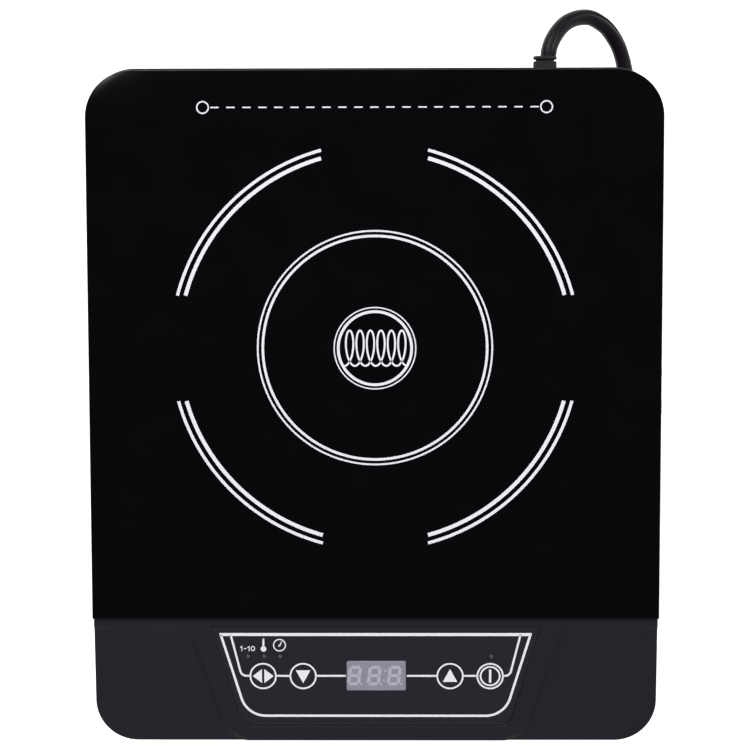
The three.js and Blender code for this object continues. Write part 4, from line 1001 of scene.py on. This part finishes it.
def makeDigits():
    # unlit segments, printed on the window's face
    digits = {
        "xs": (-10.85, -0.7, 9.6),
        "rise": 0.15,
        "half": 2.55,
        "tall": 4.4,
        "pen": 1.65,
        "slant": 0.13,
        "trim": 0.3,
        "dot": 0.6,
        "dotShift": 0.9,
        "colon": (4.6, 2.6),  # x, and how far each dot is from the row
    }
    form = bmesh.new()
    row, dot, slant = panel["keyRow"] + digits["rise"], digits["dot"], digits["slant"]
    half, tall = digits["half"], digits["tall"]
    segments = [((-half, y), (half, y)) for y in (tall, 0, -tall)]
    segments += [((side, y), (side, y - tall)) for y in (tall, 0) for side in (-half, half)]
    for x in digits["xs"]:
        for start, end in segments:
            line = Vector(end) - Vector(start)
            trim = line.normalized() * digits["trim"]
            legs = [Vector(start) + trim, Vector(end) - trim]
            legs = [(x + leg.x + slant * leg.y, row + leg.y) for leg in legs]
            strokePrint(form, legs, digits["pen"])
        fillPrint(form, circleLine(x + half + digits["dotShift"], row - tall, dot, 16))
    x, reach = digits["colon"]
    for rise in (-reach, reach):
        fillPrint(form, circleLine(x + slant * rise, row + rise, dot, 16))
    return form


frameForm = makeFramePrint()
addNumbers(frameForm)
addThermometer(frameForm)
addClock(frameForm)
newPrint("panel_print", frameForm, "film", filmPlace)
makeKeyPrints()
newPrint("digit_segments", makeDigits(), "window", filmPlace, material="dullSegment", lift=0.03)
print("prints ready")

# feet and case screws
feet = {"x": 82, "y": 105.9}
screws = {
    "x": 131,
    "y": 140,
    "height": 23.7,
    "head": 2.2,
    "flat": 2.3,
    "arm": 0.35,
    "reach": 1.5,
    "recess": 1.1,
}
spots = [("front_left", -1, -1), ("front_right", 1, -1), ("rear_left", -1, 1), ("rear_right", 1, 1)]


def makeFoot(spot, x, y):
    profile = [
        (0, 0.9), (3.4, 0.9), (3.8, 0.5), (4.2, 0.0), (5.6, 0.0), (6.0, 0.45), (6.5, 0.45),
        (6.9, 0.0), (9.3, 0.0), (9.8, 0.2), (10.0, 0.8), (10.0, 3.8), (9.9, 4.2), (8.7, 10.0),
        (8.3, 10.65), (7.9, 10.7), (4.0, 10.7), (4.0, 13.8), (4.9, 13.85), (5.2, 14.1), (4.1, 15.4),
        (0, 15.4),
    ]
    form, stands = spunForm(profile), ("foot_" + spot,)
    newPiece("rubber_foot_" + spot, form, "blackRubber", "rubber", stands=stands, place=moved(x, y))


def makeScrew(spot, x, y):
    # pan head with a cross recess, pointing down
    arm, reach, flat, head = screws["arm"], screws["reach"], screws["flat"], screws["head"]
    form = bmesh.new()
    bmesh.ops.create_circle(form, segments=48, radius=flat * mm)
    cross = [(arm, arm), (arm, reach), (-arm, reach), (-arm, arm), (-reach, arm), (-reach, -arm)]
    cross += [(-px, -py) for px, py in cross]
    verts = [form.verts.new(placePoint(*corner)) for corner in cross]
    rim = [form.edges.new((vert, verts[(i + 1) % len(verts)])) for i, vert in enumerate(verts)]
    bmesh.ops.triangle_fill(form, edges=list(form.edges), use_beauty=True)
    walls = bmesh.ops.extrude_edge_only(form, edges=rim)["geom"]
    sunk = [item for item in walls if isinstance(item, bmesh.types.BMVert)]
    bmesh.ops.translate(form, verts=sunk, vec=placePoint(0, 0, -screws["recess"]))
    floor = [item for item in walls if isinstance(item, bmesh.types.BMEdge) and item.is_boundary]
    bmesh.ops.contextual_create(form, geom=floor)
    profile = [(flat, 0), (2.8, -0.15), (3.1, -0.7), (3.2, -1.4), (3.2, -head), (1.5, -head)]
    shank = spunForm(profile + [(1.5, -17.6), (0.7, -18.2), (0, -18.2)], 48)
    mesh = bpy.data.meshes.new("shank")
    shank.to_mesh(mesh)
    shank.free()
    form.from_mesh(mesh)
    bpy.data.meshes.remove(mesh)
    bmesh.ops.remove_doubles(form, verts=form.verts, dist=0.01 * mm)
    place = moved(x, y, screws["height"] - head) @ Matrix.Rotation(math.pi, 4, "X")
    stands = ("case_screw_" + spot,)
    newPiece("cross_screw_" + spot, form, "platedSteel", "steel", stands=stands, place=place)


for spot, sx, sy in spots:
    makeFoot(spot, sx * feet["x"], sy * feet["y"])
    makeScrew(spot, sx * screws["x"], sy * screws["y"])
print("underside ready")

# pieces inside the case: material and slot, then the nodes that have them
inside = {
    ("circuitBoard", "board"): ("control_board", "main_board"),
    ("darkMoulding", "dark_plastic"): (
        "led_display", "mode_switch", "down_switch", "up_switch", "power_switch", "fan_frame",
        "power_transistor", "bridge_rectifier", "buzzer",
    ),
    ("paleMoulding", "pale_plastic"): ("coil_carrier", "cord_clamp"),
    ("boxedCapacitor", "capacitor_case"): ("filter_capacitor", "resonance_capacitor"),
    ("blackRubber", "rubber"): ("glass_seal", "thermistor_holder", "inner_lead"),
    ("pressedFerrite", "ferrite"): ("ferrite_bar_1", "ferrite_bar_2", "ferrite_bar_3", "ferrite_bar_4"),
    ("micaSheet", "mica"): ("mica_sheet",),
    ("extrudedAluminium", "aluminium"): ("heat_sink",),
}
for (material, slot), nodes in inside.items():
    for node in nodes:
        dressNode(node, material, slot)
dressNode("fan_rotor", "paleMoulding", "pale_plastic", body="fan")
for key in panel["keys"]:
    dressNode(key + "_plunger", "paleMoulding", "pale_plastic", 0.15, key + "_button")
dressNode("filter_choke", "chokeWire", "copper", 0.1)
winding = {
    "diameter": 4.4,
    "turns": 9,
    "stepsPerTurn": 24,
    "inner": 26,
    "outer": 88,
    "height": 51.5,
    "y": 32.05,
}


def makeWinding():
    # one round tube in place of the strands, wound outwards in a plane
    data = bpy.data.curves.new("litz_winding", "CURVE")
    data.dimensions = "3D"
    data.bevel_depth = winding["diameter"] / 2 * mm
    data.bevel_resolution = 3
    data.use_fill_caps = True
    data.resolution_u = 4
    steps = winding["turns"] * winding["stepsPerTurn"]
    knots = data.splines.new("BEZIER").bezier_points
    knots.add(steps)
    for i, knot in enumerate(knots):
        angle = 2 * math.pi * i / winding["stepsPerTurn"]
        radius = winding["inner"] + (winding["outer"] - winding["inner"]) * i / steps
        x, y = radius * math.cos(angle), winding["y"] + radius * math.sin(angle)
        knot.co = placePoint(x, y, winding["height"])
        knot.handle_left_type = knot.handle_right_type = "AUTO"
    data.materials.append(materials["copperWire"])
    coil = bpy.data.objects.new("litz_winding", data)
    scene.collection.objects.link(coil)
    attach(coil, "base")
    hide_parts("induction_coil")


makeWinding()
print("inside ready")

# floor, lamps and sky
studio = {
    "floor": 8,  # metres across
    "floorTone": 0.92,
    "floorGlow": 0.75,
    "floorDrop": 0.2,  # mm below the feet
    "skyLight": 0.27,
    "overhead": 0.02,
    "overheadFrom": (0.0, 0.22),  # heights in the sky between which it goes dark
}
# azimuth and elevation in degrees, distance and sides in metres, power in watts
lamps = {
    "key_lamp": (120, 50, 2.2, (1.2, 1.2), 30),
    "fill_lamp": (20, 45, 2.4, (1.4, 1.0), 21),
    "front_lamp": (262, 40, 2.4, (1.6, 0.6), 9),
}


def backgroundRays(tree):
    # what the camera sees of the studio, straight on, in a mirror or through glass
    path = addNode(tree, "LightPath").outputs
    rays = addMath(tree, "ADD", path["Is Camera Ray"], path["Is Glossy Ray"])
    return addMath(tree, "MINIMUM", addMath(tree, "ADD", rays, path["Is Transmission Ray"]), 1.0)


def makeFloor():
    form = bmesh.new()
    bmesh.ops.create_grid(form, x_segments=1, y_segments=1, size=studio["floor"] / 2)
    mesh = bpy.data.meshes.new("floor")
    form.to_mesh(mesh)
    form.free()
    tone = studio["floorTone"]
    tones = {"Base_Color": (tone, tone, tone, 1), "Emission_Color": (1, 1, 1, 1)}
    tree, shader = newMaterial("paleFloor", Roughness=0.9, **tones)
    glow = addMath(tree, "MULTIPLY", backgroundRays(tree), studio["floorGlow"])
    fill(tree, shader, {"Emission Strength": glow})
    mesh.materials.append(materials["paleFloor"])
    floor = bpy.data.objects.new("floor", mesh)
    floor.location.z = -studio["floorDrop"] * mm
    scene.collection.objects.link(floor)


def makeLamp(name, azimuth, elevation, distance, size, power):
    data = bpy.data.lights.new(name, "AREA")
    data.shape = "RECTANGLE"
    data.size, data.size_y = size
    data.energy = power
    lamp = bpy.data.objects.new(name, data)
    around, up = math.radians(azimuth), math.radians(elevation)
    way = Vector((math.cos(around) * math.cos(up), math.sin(around) * math.cos(up), math.sin(up)))
    lamp.location = way * distance
    lamp.rotation_euler = way.to_track_quat("Z", "Y").to_euler()
    scene.collection.objects.link(lamp)


def makeSky():
    # white all round and dark overhead, where the glass mirrors it
    world = bpy.data.worlds.new("studio")
    scene.world = world
    world.use_nodes = True
    tree = world.node_tree
    shader = tree.nodes["Background"]
    place = addNode(tree, "TexCoord").outputs["Generated"]
    height = addNode(tree, "SeparateXYZ", Vector=place).outputs["Z"]
    rise = addRamp(tree, height, *studio["overheadFrom"])
    light, dark = studio["skyLight"], studio["overhead"]
    backdrop = addMix(tree, rise, (1, 1, 1, 1), (dark, dark, dark, 1))
    tone = addMix(tree, backgroundRays(tree), (light, light, light, 1), backdrop)
    seen = addNode(tree, "LightPath").outputs["Is Camera Ray"]
    tree.links.new(addMix(tree, seen, tone, (1, 1, 1, 1)), shader.inputs["Color"])


makeFloor()
for name, settings in lamps.items():
    makeLamp(name, *settings)
makeSky()
